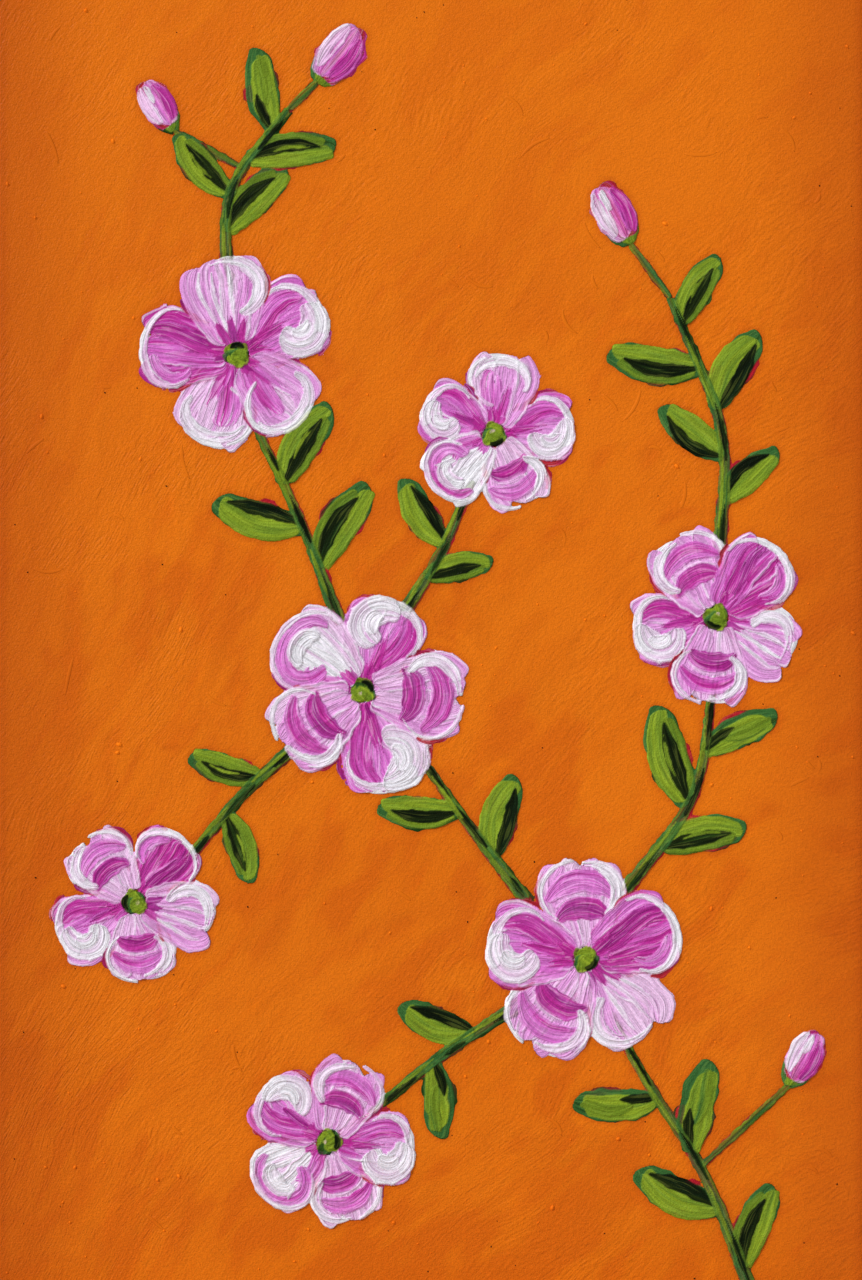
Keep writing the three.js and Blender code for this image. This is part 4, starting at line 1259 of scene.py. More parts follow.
def grit_mesh(ground, motifs):
    """The grains and the short ridges on the coat's own surface."""
    points, faces, tones = grit(motifs)
    strips, more = crests(motifs)
    faces += [tuple(len(points) + corner for corner in face) for face in more]
    points, tones = np.vstack([points, strips]), np.append(tones, np.full(len(strips), CREST_TONE))[:, None]
    lift = between(ground, ground.height, points[:, 0], points[:, 2])
    clear = np.full(len(points), float(MOTIF_SHADOW_REACH))
    coat = np.tile(ground.tints["orange"], (len(points), 1))
    coat = weathered(coat, points[:, ::2], clear, ground.tints)
    # the grains' tint is a painted highlight over the coat, the specks' a dark tone of their own
    tint = np.where(tones > 0, tones * coat, SPECK_TONE * np.array(ground.tints["rust"]))
    placed = np.column_stack([points[:, 0], FACE - lift - points[:, 1], MIDDLE_Z + points[:, 2]])
    made = mesh_object("grit_in_the_ground", placed, faces)
    set_colours(made, "pigment", tint)
    close_up(made)
    return made


def weathered(coat, flat, near, tints):
    """The ground's colours: redder and lighter patches, painted light towards the top, painted shade at the
    left and right sides, partly a deeper coat there too, and a painted shadow line beside the motifs.
    """
    amber, tawny, rust = (np.array(tints[name]) for name in ("amber", "tawny", "rust"))
    x, z = flat[:, 0], flat[:, 1]
    across, along = swept(flat).T
    patch = 0.5 * noise(x / 42, z / 42, 31) + 0.3 * noise(x / 15, z / 19, 32)
    patch = patch + 0.4 * noise(across / 11, along / 50, 33) + 0.42 * noise(across / 4, along / 12, 34)
    aside = np.abs(x)
    for share, tint in (
        (0.9 * ramp(patch, 0.05, 0.55), tawny),
        (0.8 * ramp(-patch, 0.05, 0.55), amber),
        # painted light: lighter towards the top, where the light falls from above
        (0.5 * ramp(z, 20, 200), amber),
        # painted shade: darker towards the left and right sides and round onto them, partly a deeper coat
        # there
        (0.5 * ramp(aside, 106, 152) + 0.22 * ramp(aside, 147, 151), rust),
        # painted shadow: a dark line in the coat right beside the raised paint of the motifs
        (0.35 * (1 - ramp(near, 0.2, 2.2)), rust),
    ):
        coat = coat + (tint - coat) * share[:, None]
    return coat


def sort_faces(cloth):
    """Gives each of the cloth's faces its material: painted in front, primed at the back, bare inside."""
    mesh = cloth.data
    middle = np.empty(3 * len(mesh.polygons), np.float32)
    mesh.polygons.foreach_get("center", middle)
    bare = np.empty(len(mesh.vertices), np.float32)
    mesh.attributes["bare"].data.foreach_get("value", bare)
    first = np.empty(len(mesh.polygons), np.int32)
    mesh.polygons.foreach_get("loop_start", first)
    corner_of = np.empty(len(mesh.loops), np.int32)
    mesh.loops.foreach_get("vertex_index", corner_of)
    inside = np.maximum.reduceat(bare[corner_of], first) > 0.5
    behind = middle[1::3] > 0.25 * BACK * MM
    finishes = np.where(inside, 2, np.where(behind, 1, 0)).astype(np.int32)
    mesh.polygons.foreach_set("material_index", finishes)


def frayed_threads():
    """Short ends of cotton along the cloth's cut edge, lying on the bars, as one mesh."""
    draw = random_stream(THREAD_SEED)
    wide, high = PICTURE_WIDTH / 2 - FLAP, PICTURE_HEIGHT / 2 - FLAP
    points, faces = [], []
    for _ in range(THREADS):
        way = int(4 * draw())
        nx, nz = ((1, 0), (0, 1), (-1, 0), (0, -1))[way]
        along = (2 * draw() - 1) * ((high, wide)[way % 2] - 1)
        length = 0.8 + 2.6 * draw() ** 2
        lean, curl = 1.2 * (draw() - 0.5), 1.6 * (draw() - 0.5)
        rise = 0.1 + 0.35 * draw()
        start = len(points)
        for t in THREAD_STATIONS:
            inward = -0.4 + (length + 0.4) * t  # starts inside the cloth's thickness
            sideways = along + lean * length * t + curl * t * t
            x = nx * (wide - inward) - nz * sideways
            z = nz * (high - inward) + nx * sideways
            y = BACK - 0.6 * CLOTH + rise * math.sin(math.pi * 0.8 * t) * CLOTH - 0.12 * t
            thin = THREAD_RADIUS * (1 - 0.55 * t)
            for turn in (0, 2 * math.pi / THREAD_SIDES, 4 * math.pi / THREAD_SIDES):
                aside = thin * math.cos(turn)
                points.append((x - nz * aside, y + thin * math.sin(turn), MIDDLE_Z + z + nx * aside))
        faces += tube_faces(start, THREAD_SIDES, len(THREAD_STATIONS) - 1)
        faces += [(start + 2, start + 1, start), (len(points) - 3, len(points) - 2, len(points) - 1)]
    threads = mesh_object("canvas_raw_edge_threads", points, faces)
    close_up(threads)
    return threads


def eased(node_name, name, width):
    """A copy of a solid with its sharp edges eased by the given width."""
    made = bpy.data.objects.new(name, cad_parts[node_name].data.copy())
    made.data.name = name
    bpy.context.scene.collection.objects.link(made)
    only(made)
    bpy.ops.object.mode_set(mode="EDIT")
    bpy.ops.mesh.select_all(action="SELECT")
    bpy.ops.mesh.remove_doubles(threshold=SOLID_WELD)
    bpy.ops.mesh.dissolve_limited(angle_limit=math.radians(FLAT_ANGLE))
    bpy.ops.object.mode_set(mode="OBJECT")
    soft = made.modifiers.new("eased edges", "BEVEL")
    soft.width = width
    soft.segments = BEVEL_STEPS
    soft.limit_method = "ANGLE"
    soft.angle_limit = math.radians(BEVEL_ANGLE)
    bpy.ops.object.modifier_apply(modifier=soft.name)
    bpy.ops.object.shade_smooth_by_angle(angle=math.radians(SOLID_CREASE))
    return made


# ------------------------------------------------------------------ finishes

SATIN = (0.46, 0.58)  # the ground coat's roughness, in its marks and beside them


def feed(tree, made, sockets):
    """Gives each named input of a node a value or a link."""
    for key, value in dict(sockets).items():
        if isinstance(value, bpy.types.NodeSocket):
            tree.links.new(value, made.inputs[key])
        else:
            made.inputs[key].default_value = value
    return made


def node(tree, kind, sockets=(), **settings):
    """A shader node with its settings and its inputs."""
    made = tree.nodes.new("ShaderNode" + kind)
    for name, value in settings.items():
        setattr(made, name, value)
    return feed(tree, made, sockets)


def maths(tree, operation, a, b=0.0, c=0.0):
    return node(tree, "Math", {0: a, 1: b, 2: c}, operation=operation).outputs[0]


def blend(tree, share, a, b):
    """Two colours mixed by a share."""
    return node(tree, "Mix", {0: share, 6: a, 7: b}, data_type="RGBA").outputs[2]


def mixed(tree, share, a, b):
    """Two values mixed by a share."""
    return node(tree, "Mix", {0: share, 2: a, 3: b}).outputs[0]


def brighter(tree, colour_socket, factor):
    """A colour times a factor."""
    return node(tree, "VectorMath", {0: colour_socket, "Scale": factor}, operation="SCALE").outputs[0]


def spread(tree, value, low, high, to_low=0.0, to_high=1.0):
    """A value's range moved to another, cut off at both ends."""
    sockets = {"Value": value, "From Min": low, "From Max": high, "To Min": to_low, "To Max": to_high}
    return node(tree, "MapRange", sockets, interpolation_type="SMOOTHSTEP").outputs[0]


def swing(tree, value, low, high):
    """A noise's usual values moved to a range of their own."""
    return spread(tree, value, 0.3, 0.7, low, high)


def patches(tree, vector, size, detail=2.0, seed=0.0, rough=0.5, flat=False):
    """Noise whose features have the given size, or sizes along the axes, in the vector's own unit."""
    sizes = (size, size, size) if isinstance(size, (int, float)) else (*size, 1)[:3]
    sockets = {0: vector, 1: tuple(1 / s for s in sizes), 2: (seed, 0.7 * seed, seed)}
    place = node(tree, "VectorMath", sockets, operation="MULTIPLY_ADD").outputs[0]
    look = {"Vector": place, "Scale": 1.0, "Detail": detail, "Roughness": rough}
    return node(tree, "TexNoise", look, noise_dimensions="2D" if flat else "3D").outputs["Fac"]


def finish(name):
    """A new material and its tree, which holds a Principled shader."""
    material = bpy.data.materials.new(name)
    material.use_nodes = True
    return material, material.node_tree


def finished(material, base, roughness, gloss, **others):
    """The material, once its shader has a colour, a roughness, a gloss and what else is given."""
    tree = material.node_tree
    sockets = {"Base Color": base, "Roughness": roughness, "Specular IOR Level": gloss, **others}
    feed(tree, tree.nodes["Principled BSDF"], sockets)
    return material


def object_place(tree):
    return node(tree, "TexCoord").outputs["Object"]


def own_map(tree, name):
    return node(tree, "UVMap", uv_map=name).outputs[0]


def attribute(tree, name, output="Color"):
    return node(tree, "Attribute", attribute_name=name, attribute_type="GEOMETRY").outputs[output]


def opaque(rgb):
    """A screen colour as a shader's own."""
    return tuple(linear(rgb))


def new_group(name, inputs, outputs):
    """A node group with named sockets: values, colours or vectors."""
    group = bpy.data.node_groups.new(name, "ShaderNodeTree")
    kinds = {"value": "NodeSocketFloat", "colour": "NodeSocketColor", "vector": "NodeSocketVector"}
    for label, kind in inputs:
        group.interface.new_socket(label, in_out="INPUT", socket_type=kinds[kind])
    for label, kind in outputs:
        group.interface.new_socket(label, in_out="OUTPUT", socket_type=kinds[kind])
    return group, group.nodes.new("NodeGroupInput").outputs, group.nodes.new("NodeGroupOutput").inputs


def place_group(tree, make, sockets):
    """A node group in a material, made the first time that it is asked for."""
    name = make.__name__.replace("_", " ")
    made = tree.nodes.new("ShaderNodeGroup")
    made.node_tree = bpy.data.node_groups.get(name) or make(name)
    return feed(tree, made, sockets).outputs


def bristle_lines(name):
    """Fine grooves that bristles leave along a stroke, from its own coordinates in millimetres."""
    group, given, out = new_group(name, [("Lay", "vector")], [("Height", "value")])
    fine = patches(group, given["Lay"], (0.5, 7.0), 0.0, flat=True)
    broad = patches(group, given["Lay"], (1.15, 13.0), 0.0, 3.7, flat=True)
    group.links.new(mixed(group, 0.5, fine, broad), out["Height"])
    return group


def canvas_tooth(name):
    """The tooth of primed cotton as it shows through the paint, from sheet coordinates in millimetres."""
    group, given, out = new_group(name, [("Sheet", "vector")], [("Height", "value")])
    soft = patches(group, given["Sheet"], (1.25, 0.95), 1.0, rough=0.7, flat=True)
    fine = patches(group, given["Sheet"], 0.5, 0.0, 5.1, flat=True)
    group.links.new(mixed(group, 0.38, soft, fine), out["Height"])
    return group


def plain_weave(name):
    """Plain woven threads, over and under, from sheet coordinates and the distance between the threads. Its
    tone is painted shade where the threads dip, with their own unevenness.
    """
    sockets = [("Sheet", "vector"), ("Thread", "value")]
    group, given, out = new_group(name, sockets, [("Height", "value"), ("Tone", "value")])
    parts = node(group, "SeparateXYZ", {0: given["Sheet"]})
    slub = patches(group, given["Sheet"], (2.5, 22.0), 1.0, flat=True)
    cross_slub = patches(group, given["Sheet"], (22.0, 2.5), 1.0, 9.0, flat=True)
    across = maths(group, "DIVIDE", parts.outputs["X"], given["Thread"])
    along = maths(group, "DIVIDE", parts.outputs["Y"], given["Thread"])
    across = maths(group, "MULTIPLY_ADD", slub, 1.2, across)
    along = maths(group, "MULTIPLY_ADD", cross_slub, 1.2, along)
    wave_a = maths(group, "SINE", maths(group, "MULTIPLY", across, math.pi))
    wave_b = maths(group, "SINE", maths(group, "MULTIPLY", along, math.pi))
    height = maths(group, "MULTIPLY_ADD", maths(group, "MULTIPLY", wave_a, wave_b), 0.5, 0.5)
    group.links.new(height, out["Height"])
    threads = maths(group, "MULTIPLY", maths(group, "ADD", slub, cross_slub), 0.3)
    # the tone: painted shade where the threads dip, and the threads' own unevenness
    group.links.new(maths(group, "MULTIPLY_ADD", height, 0.4, threads), out["Tone"])
    return group


def relief(tree, *layers):
    """A normal from several heights, each with its depth in metres."""
    total = 0.0
    for height, depth in layers:
        total = maths(tree, "MULTIPLY_ADD", height, depth, total)
    return node(tree, "Bump", {"Height": total, "Distance": 1.0, "Strength": 1.0}).outputs[0]


def acrylic(name, hair_depth, tooth_depth, streak, streak_share, tone, roughness, gloss):
    """Satin acrylic in the colours it was painted in, grooved by the brush and streaked along it, with
    painted shade in the grooves and the tooth's hollows and painted light on the ridges.
    """
    material, tree = finish(name)
    hairs = place_group(tree, bristle_lines, {"Lay": own_map(tree, "lay")})["Height"]
    tooth = place_group(tree, canvas_tooth, {"Sheet": own_map(tree, "sheet")})["Height"]
    # painted shade in the bristle grooves and painted light on the ridges between them
    groove_shade_and_ridge_light = spread(tree, hairs, 0.32, 0.68, 1 - tone, 1 + 0.75 * tone)
    pigment = brighter(tree, attribute(tree, "pigment"), groove_shade_and_ridge_light)
    pigment = blend(tree, spread(tree, hairs, 0.54, 0.72, 0.0, streak_share), pigment, opaque(streak))
    # painted shade in the hollows of the canvas tooth, painted light on its tops
    pigment = brighter(tree, pigment, swing(tree, tooth, 0.9, 1.08))
    satin = swing(tree, hairs, roughness - 0.08, roughness + 0.12)
    normal = relief(tree, (hairs, hair_depth), (tooth, tooth_depth))
    return finished(material, pigment, satin, gloss, Normal=normal)


def ground_coat_look(tree, look):
    """Colour, marks and the relief's layers of the orange coat, with painted shade in the hollows of the
    marks and of the tooth and painted light on their tops.
    """
    sweep = own_map(tree, "sweep")
    broad = patches(tree, sweep, (2.1, 5.5), 1.0, 1.3, 0.65, flat=True)
    fine = patches(tree, sweep, (0.9, 5.0), 0.0, 6.1, flat=True)
    marks = mixed(tree, attribute(tree, "pressed", "Fac"), 0.5, mixed(tree, 0.42, broad, fine))
    tooth = place_group(tree, canvas_tooth, {"Sheet": own_map(tree, "sheet")})["Height"]
    # painted shade in the low parts of the brush marks and of the tooth, painted light on their tops
    orange = brighter(tree, attribute(tree, "pigment"), swing(tree, marks, 0.972, 1.024))
    orange = brighter(tree, orange, swing(tree, tooth, 0.93, 1.06))
    return orange, marks, ((marks, look.marks), (tooth, look.tooth))


def canvas_face(look):
    """Orange acrylic over primed canvas."""
    material, tree = finish("ground coat")
    orange, marks, layers = ground_coat_look(tree, look)
    satin = swing(tree, marks, *SATIN)
    return finished(material, orange, satin, look.gloss, Normal=relief(tree, *layers))


def canvas_strip(look):
    """The cloth's back half: the orange coat ends in a ragged edge, with white primer beyond it."""
    material, tree = finish("primed strip")
    orange, marks, layers = ground_coat_look(tree, look)
    sheet = own_map(tree, "sheet")
    weave = place_group(tree, plain_weave, {"Sheet": sheet, "Thread": look.thread / MM})
    blotch = patches(tree, sheet, 9.0, 2.0, 8.0, flat=True)
    primer = blend(tree, blotch, (0.78, 0.77, 0.72, 1), (0.64, 0.62, 0.56, 1))
    # painted shade between the threads of the weave, painted light on their crossings
    primer = brighter(tree, primer, spread(tree, weave["Height"], 0.0, 1.0, 0.93, 1.03))
    edge = patches(tree, sheet, 5.0, 3.0, 5.5, 0.7, flat=True)
    depth = node(tree, "SeparateXYZ", {0: object_place(tree)}).outputs["Y"]
    ragged = maths(tree, "MULTIPLY_ADD", edge, 0.009, depth)
    coated = spread(tree, ragged, 0.0112, 0.0104)
    satin = mixed(tree, coated, 0.8, swing(tree, marks, *SATIN))
    scored = (maths(tree, "MULTIPLY", marks, coated), look.marks)
    normal = relief(tree, scored, layers[1], (weave["Height"], 0.00006))
    return finished(material, blend(tree, coated, primer, orange), satin, look.gloss, Normal=normal)


def canvas_inside(look):
    """Bare woven cotton, a little yellowed, with painted shade between its threads."""
    material, tree = finish("bare cotton")
    sheet = own_map(tree, "sheet")
    weave = place_group(tree, plain_weave, {"Sheet": sheet, "Thread": look.thread / MM})
    # dark between the threads as painted shade, light on them
    cotton = blend(tree, weave["Tone"], (0.37, 0.29, 0.18, 1), (0.72, 0.64, 0.49, 1))
    age = patches(tree, sheet, 34.0, 3.0, 1.1, flat=True)
    cotton = blend(tree, spread(tree, age, 0.45, 0.8, 0.0, 0.3), cotton, (0.47, 0.37, 0.23, 1))
    matt = spread(tree, weave["Height"], 0.0, 1.0, 0.98, 0.9)
    return finished(material, cotton, matt, 0.1, Normal=relief(tree, (weave["Height"], 0.00014)))


def wood(name, tones, along_x, ring, seed):
    """Planed wood: growth rings cut at a slant, fine fibres, pores and a little grime."""
    material, tree = finish(name)
    place = object_place(tree)
    grain = node(tree, "VectorRotate", {"Vector": place, "Angle": math.radians(90 if along_x else 0)},
                 rotation_type="Y_AXIS").outputs[0]
    wander = patches(tree, grain, (0.02, 0.02, 0.3), 2.0, seed)
    parts = node(tree, "SeparateXYZ", {0: grain})
    slant = maths(tree, "MULTIPLY_ADD", parts.outputs["Y"], 0.55, parts.outputs["X"])
    turns = maths(tree, "MULTIPLY_ADD", wander, 26.0, maths(tree, "DIVIDE", slant, ring / (2 * math.pi)))
    late = spread(tree, maths(tree, "SINE", turns), -0.1, 0.98)
    fibre = patches(tree, grain, (0.00035, 0.00035, 0.018), 2.0, seed + 2)
    tint = patches(tree, grain, (0.03, 0.03, 0.2), 2.0, seed + 4)
    light, deep = (linear(colour(tone)) for tone in tones)
    base = blend(tree, tint, tuple(light), (*(0.84 * light[:3]), 1))
    base = blend(tree, maths(tree, "MULTIPLY", late, 0.62), base, tuple(deep))
    base = blend(tree, spread(tree, fibre, 0.28, 0.58, 0.4, 0.0), base, tuple(deep))
    grime = patches(tree, place, 0.012, 3.0, seed + 6)
    base = blend(tree, spread(tree, grime, 0.58, 0.8, 0.0, 0.3), base, (0.16, 0.11, 0.07, 1))
    planed = swing(tree, fibre, 0.78, 0.58)
    return finished(material, base, planed, 0.25, Normal=relief(tree, (late, 0.00006), (fibre, 0.00013)))


def staple_wire():
    """Galvanised wire with faint drawing lines."""
    material, tree = finish("staple wire")
    tone = patches(tree, object_place(tree), 0.0012, 3.0)
    zinc = blend(tree, tone, (0.36, 0.37, 0.39, 1), (0.66, 0.67, 0.69, 1))
    rough = swing(tree, tone, 0.26, 0.48)
    return finished(material, zinc, rough, 0.5, Metallic=1.0, Normal=relief(tree, (tone, 0.00003)))


def coated_grit(look):
    """Grit and small ridges with the ground coat over them, and dark specks."""
    material, tree = finish("coated grit")
    return finished(material, attribute(tree, "pigment"), 0.52, look.gloss)


def cotton_thread():
    """Loose cotton ends, some still white with primer."""
    material, tree = finish("cotton thread")
    tone = patches(tree, object_place(tree), 0.004, 1.0)
    cotton = blend(tree, tone, (0.5, 0.42, 0.29, 1), (0.82, 0.79, 0.72, 1))
    return finished(material, cotton, swing(tree, tone, 0.9, 0.8), 0.2)


def pale_floor(look):
    """A plain matt floor with the faintest unevenness."""
    material, tree = finish("studio floor")
    tone = patches(tree, object_place(tree), 0.6, 1.0)
    low = (*(0.985 * linear(look.floor)[:3]), 1)
    return finished(material, blend(tree, tone, low, opaque(look.floor)), 0.9, 0.1)


# ------------------------------------------------------------------ what a user may change


def shade(name, description, text):
    """A colour property, as a screen shows it."""
    return bpy.props.FloatVectorProperty(
        name=name, description=description, default=colour(text), size=3, min=0, max=1,
        subtype="COLOR_GAMMA",
    )


def distance(name, description, default, low, high):
    """A length property, given in millimetres."""
    return bpy.props.FloatProperty(
        name=name, description=description, default=default * MM, min=low * MM, max=high * MM, precision=5,
        subtype="DISTANCE", unit="LENGTH",
    )


def share(name, description, default):
    return bpy.props.FloatProperty(
        name=name, description=description, default=default, min=0, max=1, subtype="FACTOR"
    )


def amount(name, description, default, high):
    return bpy.props.FloatProperty(name=name, description=description, default=default, min=0, max=high)


class PaintingPigments(bpy.types.PropertyGroup):
    """The tints of the raised paint, and how finely it is modelled."""

    magenta: shade("Magenta", "Shaded part of a petal", "AE2389")
    plum: shade("Plum", "Deepest part of a petal", "8E1676")
    pink: shade("Pink", "Middle tone of a petal", "CB66BE")
    rose: shade("Rose", "Light tone of a petal", "D48FCE")
    pale: shade("Pale pink", "Lightest pink of a petal", "DCB6DA")
    white: shade("White", "Curls at a petal's edge", "DDDBE2")
    crimson: shade("Crimson", "Underpaint that shows beyond the strokes", "A61A28")
    lime: shade("Lime", "Lit side of a leaf", "7E9423")
    leaf: shade("Leaf green", "Middle tone of the greens", "647C1E")
    green: shade("Green", "Stems and the shapes behind the leaves", "34602E")
    dark: shade("Dark green", "Shaded greens", "1D3A12")
    black: shade("Black green", "Shaded side of a leaf", "060E03")
    pitch: distance("Fineness", "Distance between neighbouring points of a stroke's surface", 0.33, 0.25, 1)
    hair_depth: distance("Bristle lines", "Depth of the finest lines in the petals", 0.66, 0, 1)
    gloss: share("Gloss", "Strength of the paint's shine", 0.13)


class PaintingCanvas(bpy.types.PropertyGroup):
    """The cloth, its threads and its orange ground."""

    orange: shade("Main tone", "Most of the ground", "CE6608")
    # amber also lightens the ground towards the top as painted light
    amber: shade("Amber", "Its lighter patches", "D36B0A")
    tawny: shade("Tawny", "Its redder patches", "C65C07")
    # a deep orange for the painted shade at the left and right edges and the painted shadow beside the
    # motifs, and a base for the dark specks
    rust: shade("Rust", "Its darker left and right edges", "A84605")
    pitch: distance("Fineness", "Distance between neighbouring points of the painted face", 1.35, 1, 5)
    thread: distance("Thread", "Distance between neighbouring threads of the cotton", 0.65, 0.2, 2)
    marks: distance("Brush marks", "Depth of the marks that the brush left in the ground coat", 0.4, 0, 1)
    tooth: distance("Tooth", "Depth of the canvas's tooth under the ground coat", 0.27, 0, 1)
    gloss: share("Gloss", "Strength of the ground coat's shine", 0.07)


class PaintingFrame(bpy.types.PropertyGroup):
    """The stretcher bars, their keys and the staples."""

    bar_edge: distance("Bar edges", "How much the bars' sharp edges are eased", 0.5, 0.1, 2)
    key_edge: distance("Key edges", "How much the keys' sharp edges are eased", 0.3, 0.1, 1)
    wire_edge: distance("Wire edges", "How round the staples' wire is", 0.22, 0.05, 0.3)
    bar_ring: distance("Bar rings", "Distance between the pine's growth rings", 3.2, 1, 10)
    key_ring: distance("Key rings", "Distance between the beech's growth rings", 1.6, 0.5, 10)


class PaintingStage(bpy.types.PropertyGroup):
    """The floor, the lights and the camera."""

    floor: shade("Floor", "Colour of the plain floor", "DEDCD9")
    sky: amount("Soft light", "Light from all round", 0.46, 5)
    wall: amount("Backdrop", "How bright the wall behind is", 0.8, 5)
    key: amount("Key light", "Light from the upper left", 2.9, 20)
    back: amount("Back light", "Light on the back", 1.7, 20)
    softness: bpy.props.FloatProperty(
        name="Softness", description="How wide the lights look from the picture", default=math.radians(11),
        min=0, max=math.pi, subtype="ANGLE", unit="ROTATION",
    )
    floor_width: distance("Floor width", "Across the round floor", 60000, 2000, 200000)
    lens: bpy.props.FloatProperty(
        name="Lens", description="The camera's focal length", default=85, min=20, max=300,
        subtype="DISTANCE_CAMERA",
    )


# ------------------------------------------------------------------ operators

PINE = ("DCB886", "AE7F4A")  # early and late wood
BEECH = ("CFA06C", "A5713F")
PIGMENTS = (
    "magenta", "plum", "pink", "rose", "pale", "white", "crimson", "lime", "leaf", "green", "dark", "black"
)
GROUND_TINTS = ("orange", "amber", "tawny", "rust")
# depth of the tooth, tint and share of the streaks, strength of the painted shade in the bristle grooves
# and the painted light on their ridges, and roughness
PETAL_PAINT = (0.00012, (0.86, 0.82, 0.88), 0.2, 0.18, 0.45)
LEAF_PAINT = (0.00034, (0.62, 0.68, 0.3), 0.1, 0.16, 0.55)
LEAF_HAIR, LEAF_GLOSS = 0.4, 0.3  # beside the petals' bristle lines and gloss
FLOOR_SIDES = 96
KEY_FROM = (-0.62, -0.55, 0.62)
BACK_FROM = (0.5, 0.8, 0.55)
BACKDROP = (0.97, 0.98, 1.0, 1)
IMAGE_WIDE, IMAGE_TALL = 862, 1280  # the sensor's width lies along the longer side
SHOWN_INSET = 1.3  # left out at each side, where the cloth turns round its bars

OPERATORS = []
WET = {}


def operator(label, description):
    """Makes an operator out of a function of the scene. They run in the order in which they are made."""

    def made(run):
        def execute(self, context):
            run(context.scene)
            return {"FINISHED"}

        name = run.__name__
        parts = {"__doc__": description, "bl_idname": "painting." + name, "bl_label": label}
        OPERATORS.append(type("PAINTING_OT_" + name, (bpy.types.Operator,), parts | {"execute": execute}))
        return run

    return made


def wet_paint(scene):
    """The whole picture's wet paint, mixed again only where its settings have changed."""
    pigments, ground = scene.painting_pigments, scene.painting_canvas
    tints = {name: tuple(getattr(pigments, name)) for name in PIGMENTS}
    tints |= {name: tuple(getattr(ground, name)) for name in GROUND_TINTS}
    key = (*tints.values(), pigments.pitch, ground.pitch)
    if WET.get("key") != key:
        WET["motifs"] = painted_motifs(pigments.pitch / MM, tints)
        WET["owners"] = cell_owners(WET["motifs"])
        WET["ground"] = ground_coat(ground.pitch / MM, tints)
        WET["key"] = key
    return WET


def petal_finish(look):
    name = "petal paint"
    return bpy.data.materials.get(name) or acrylic(name, look.hair_depth, *PETAL_PAINT, look.gloss)


def leaf_finish(look):
    name, hair_depth, gloss = "leaf paint", LEAF_HAIR * look.hair_depth, LEAF_GLOSS * look.gloss
    return bpy.data.materials.get(name) or acrylic(name, hair_depth, *LEAF_PAINT, gloss)


def nodes_called(start):
    """The frame's nodes whose names start alike."""
    return [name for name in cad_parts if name.startswith(start)]


def seat(piece, node_name, material):
    """Gives a finished piece its finish and its body, and hides the solid that it stands for."""
    piece.data.materials.clear()
    piece.data.materials.append(material)
    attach(piece, "root")
    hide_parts(node_name)


def paint_pieces(scene, first_owner, motifs, name, finish_of):
    """The raised paint of a family of motifs, one piece for each."""
    wet = wet_paint(scene)
    material = finish_of(scene.painting_pigments)
    for i in range(len(motifs)):
        node_name = name.format(i + 1)
        owner = first_owner + i
        piece = paint_piece(node_name + "_paint", wet["motifs"], wet["owners"], owner, wet["ground"])
        seat(piece, node_name, material)


WORKED = {"pine": "wood", "beech": "wood", "steel": "wire"}


def ease_solids(start, ending, slot, width, across, upright):
    """Eased copies of the solids whose names start alike, in one wood or the other by their endings."""
    for name in nodes_called(start):
        grain = across if name.endswith(ending) else upright
        seat(eased(name, f"{name}_{WORKED[slot]}", width), name, grain)


@operator("Painted canvas", "Stretch the cloth over its bars, with its ground coat and its frayed edge")
def canvas(scene):
    wet = wet_paint(scene)
    cloth = cloth_mesh(wet["ground"], wet["motifs"])
    look = scene.painting_canvas
    seat(cloth, "canvas", canvas_face(look))
    cloth.data.materials.append(canvas_strip(look))
    cloth.data.materials.append(canvas_inside(look))
    sort_faces(cloth)
    threads, grains = frayed_threads(), grit_mesh(wet["ground"], wet["motifs"])
    for piece, material in ((threads, cotton_thread()), (grains, coated_grit(look))):
        piece.data.materials.append(material)
        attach(piece, "root")


@operator("Twigs and leaves", "Paint the twigs with their leaves")
def twigs(scene):
    paint_pieces(scene, TWIG_OWNER, TWIGS, "twig_{}", leaf_finish)


@operator("Buds", "Paint the buds")
def buds(scene):
    paint_pieces(scene, BUD_OWNER, BUDS, "bud_{}", petal_finish)


@operator("Petals", "Paint the blossoms' petals")
def petals(scene):
    paint_pieces(scene, PETALS_OWNER, BLOSSOMS, "blossom_{}_petals", petal_finish)


@operator("Blossom centres", "Paint the blossoms' centres")
def centres(scene):
    paint_pieces(scene, CENTRE_OWNER, BLOSSOMS, "blossom_{}_centre", leaf_finish)


@operator("Stretcher bars", "Ease the stretcher bars' edges and give them the grain of pine")
def bars(scene):
    look = scene.painting_frame
    across = wood("pine across", PINE, True, look.bar_ring, 1.0)
    upright = wood("pine upright", PINE, False, look.bar_ring, 5.0)
    ease_solids("stretcher_bar", ("top", "bottom"), "pine", look.bar_edge, across, upright)


@operator("Corner keys", "Ease the corner keys' edges and give them the grain of beech")
def keys(scene):
    look = scene.painting_frame
    across = wood("beech across", BEECH, True, look.key_ring, 2.0)
    upright = wood("beech upright", BEECH, False, look.key_ring, 3.0)
    ease_solids("key", "across", "beech", look.key_edge, across, upright)


@operator("Staples", "Round the staples' wire and give it its zinc")
def staples(scene):
    steel = staple_wire()
    ease_solids("staple", "", "steel", scene.painting_frame.wire_edge, steel, steel)


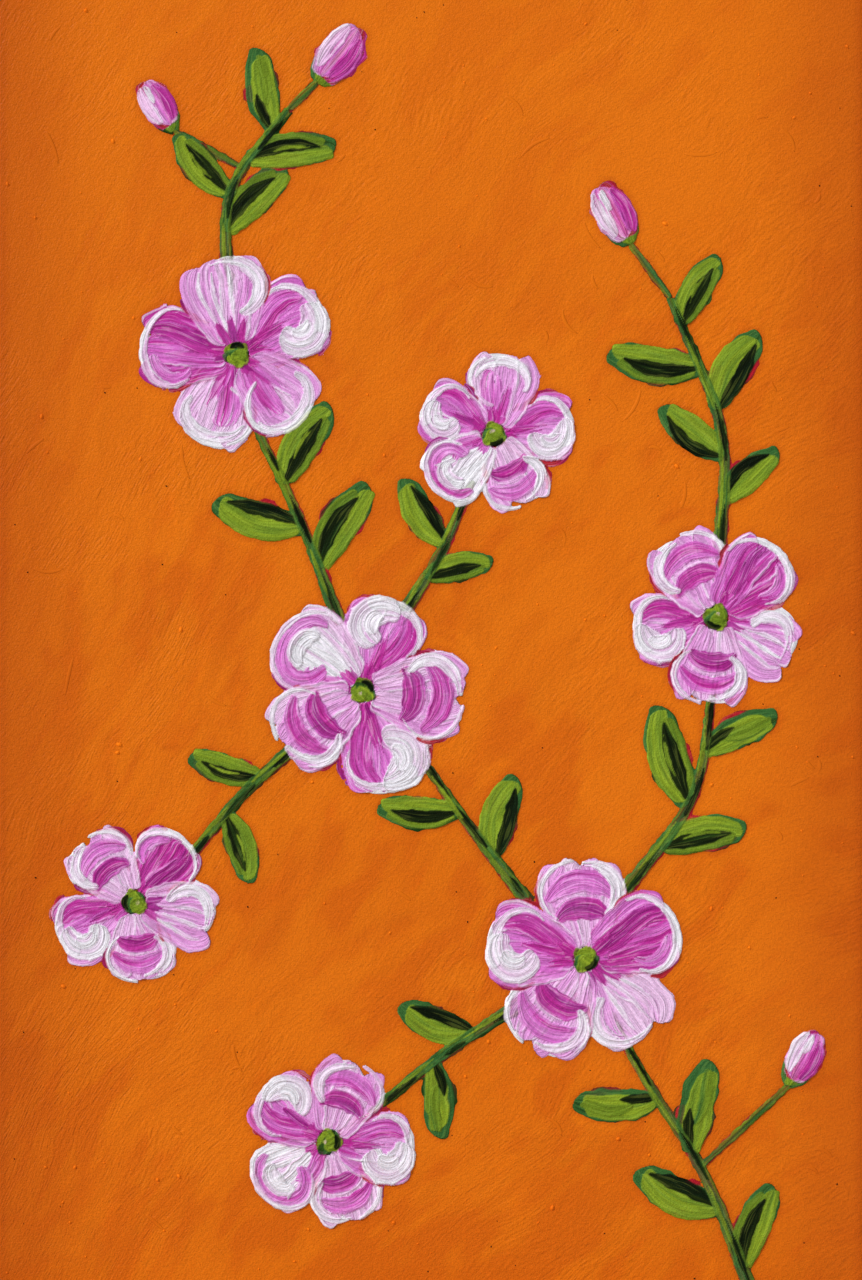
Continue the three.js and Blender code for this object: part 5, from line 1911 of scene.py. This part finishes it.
@operator("Studio", "Set the floor, the lights and the camera")
def stage(scene):
    look = scene.painting_stage
    scene.view_settings.view_transform = "Standard"
    bpy.ops.object.select_all(action="DESELECT")
    place = (0, 0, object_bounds()[0].z)
    bpy.ops.mesh.primitive_circle_add(
        vertices=FLOOR_SIDES, radius=look.floor_width / 2, fill_type="TRIFAN", location=place
    )
    floor = bpy.context.object
    floor.name = floor.data.name = "studio_floor"
    bpy.ops.object.transform_apply(location=True, rotation=True, scale=True)
    floor.data.materials.append(pale_floor(look))
    floor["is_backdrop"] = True

    world = bpy.data.worlds.new("studio")
    world.use_nodes = True
    backdrop = world.node_tree.nodes["Background"]
    seen = node(world.node_tree, "LightPath").outputs["Is Camera Ray"]
    shown = spread(world.node_tree, seen, 0.0, 1.0, look.sky, look.wall)
    feed(world.node_tree, backdrop, {"Color": BACKDROP, "Strength": shown})
    scene.world = world
    for name, way, power in (("key light", KEY_FROM, look.key), ("back light", BACK_FROM, look.back)):
        lamp = bpy.data.lights.new(name, "SUN")
        lamp.energy = power
        lamp.angle = look.softness
        made = bpy.data.objects.new(name, lamp)
        made.rotation_euler = (-Vector(way)).to_track_quat("-Z", "Y").to_euler()
        scene.collection.objects.link(made)

    middle = Vector((0, FACE * MM, MIDDLE_Z * MM))
    lens = bpy.data.cameras.new("camera")
    lens.lens = look.lens
    camera = bpy.data.objects.new("camera", lens)
    scene.collection.objects.link(camera)
    camera.rotation_euler = (math.radians(90), 0, 0)
    seen_height = (PICTURE_WIDTH - 2 * SHOWN_INSET) * MM * IMAGE_TALL / IMAGE_WIDE
    camera.location = middle - Vector((0, lens.lens / lens.sensor_width * seen_height, 0))
    scene.camera = camera


class PAINTING_PT_pieces(bpy.types.Panel):
    """Every piece of the painting, in the order they are made"""

    bl_label = "Painting"
    bl_idname = "PAINTING_PT_pieces"
    bl_space_type = "VIEW_3D"
    bl_region_type = "UI"
    bl_category = "Painting"

    def draw(self, context):
        column = self.layout.column(align=True)
        for kind in OPERATORS:
            column.operator(kind.bl_idname)
        for name, group in SETTINGS.items():
            box = self.layout.box()
            box.label(text=group.__doc__.split(",")[0].rstrip("."))
            for key in group.__annotations__:
                box.prop(getattr(context.scene, name), key)


SETTINGS = {
    "painting_pigments": PaintingPigments,
    "painting_canvas": PaintingCanvas,
    "painting_frame": PaintingFrame,
    "painting_stage": PaintingStage,
}


def register():
    for name, group in SETTINGS.items():
        bpy.utils.register_class(group)
        setattr(bpy.types.Scene, name, bpy.props.PointerProperty(type=group))
    for kind in (*OPERATORS, PAINTING_PT_pieces):
        bpy.utils.register_class(kind)


def unregister():
    for kind in (PAINTING_PT_pieces, *reversed(OPERATORS)):
        bpy.utils.unregister_class(kind)
    for name, group in reversed(SETTINGS.items()):
        delattr(bpy.types.Scene, name)
        bpy.utils.unregister_class(group)


def main():
    register()
    for kind in OPERATORS:
        getattr(bpy.ops.painting, kind.bl_idname.split(".")[1])()


if __name__ == "__main__":
    main()
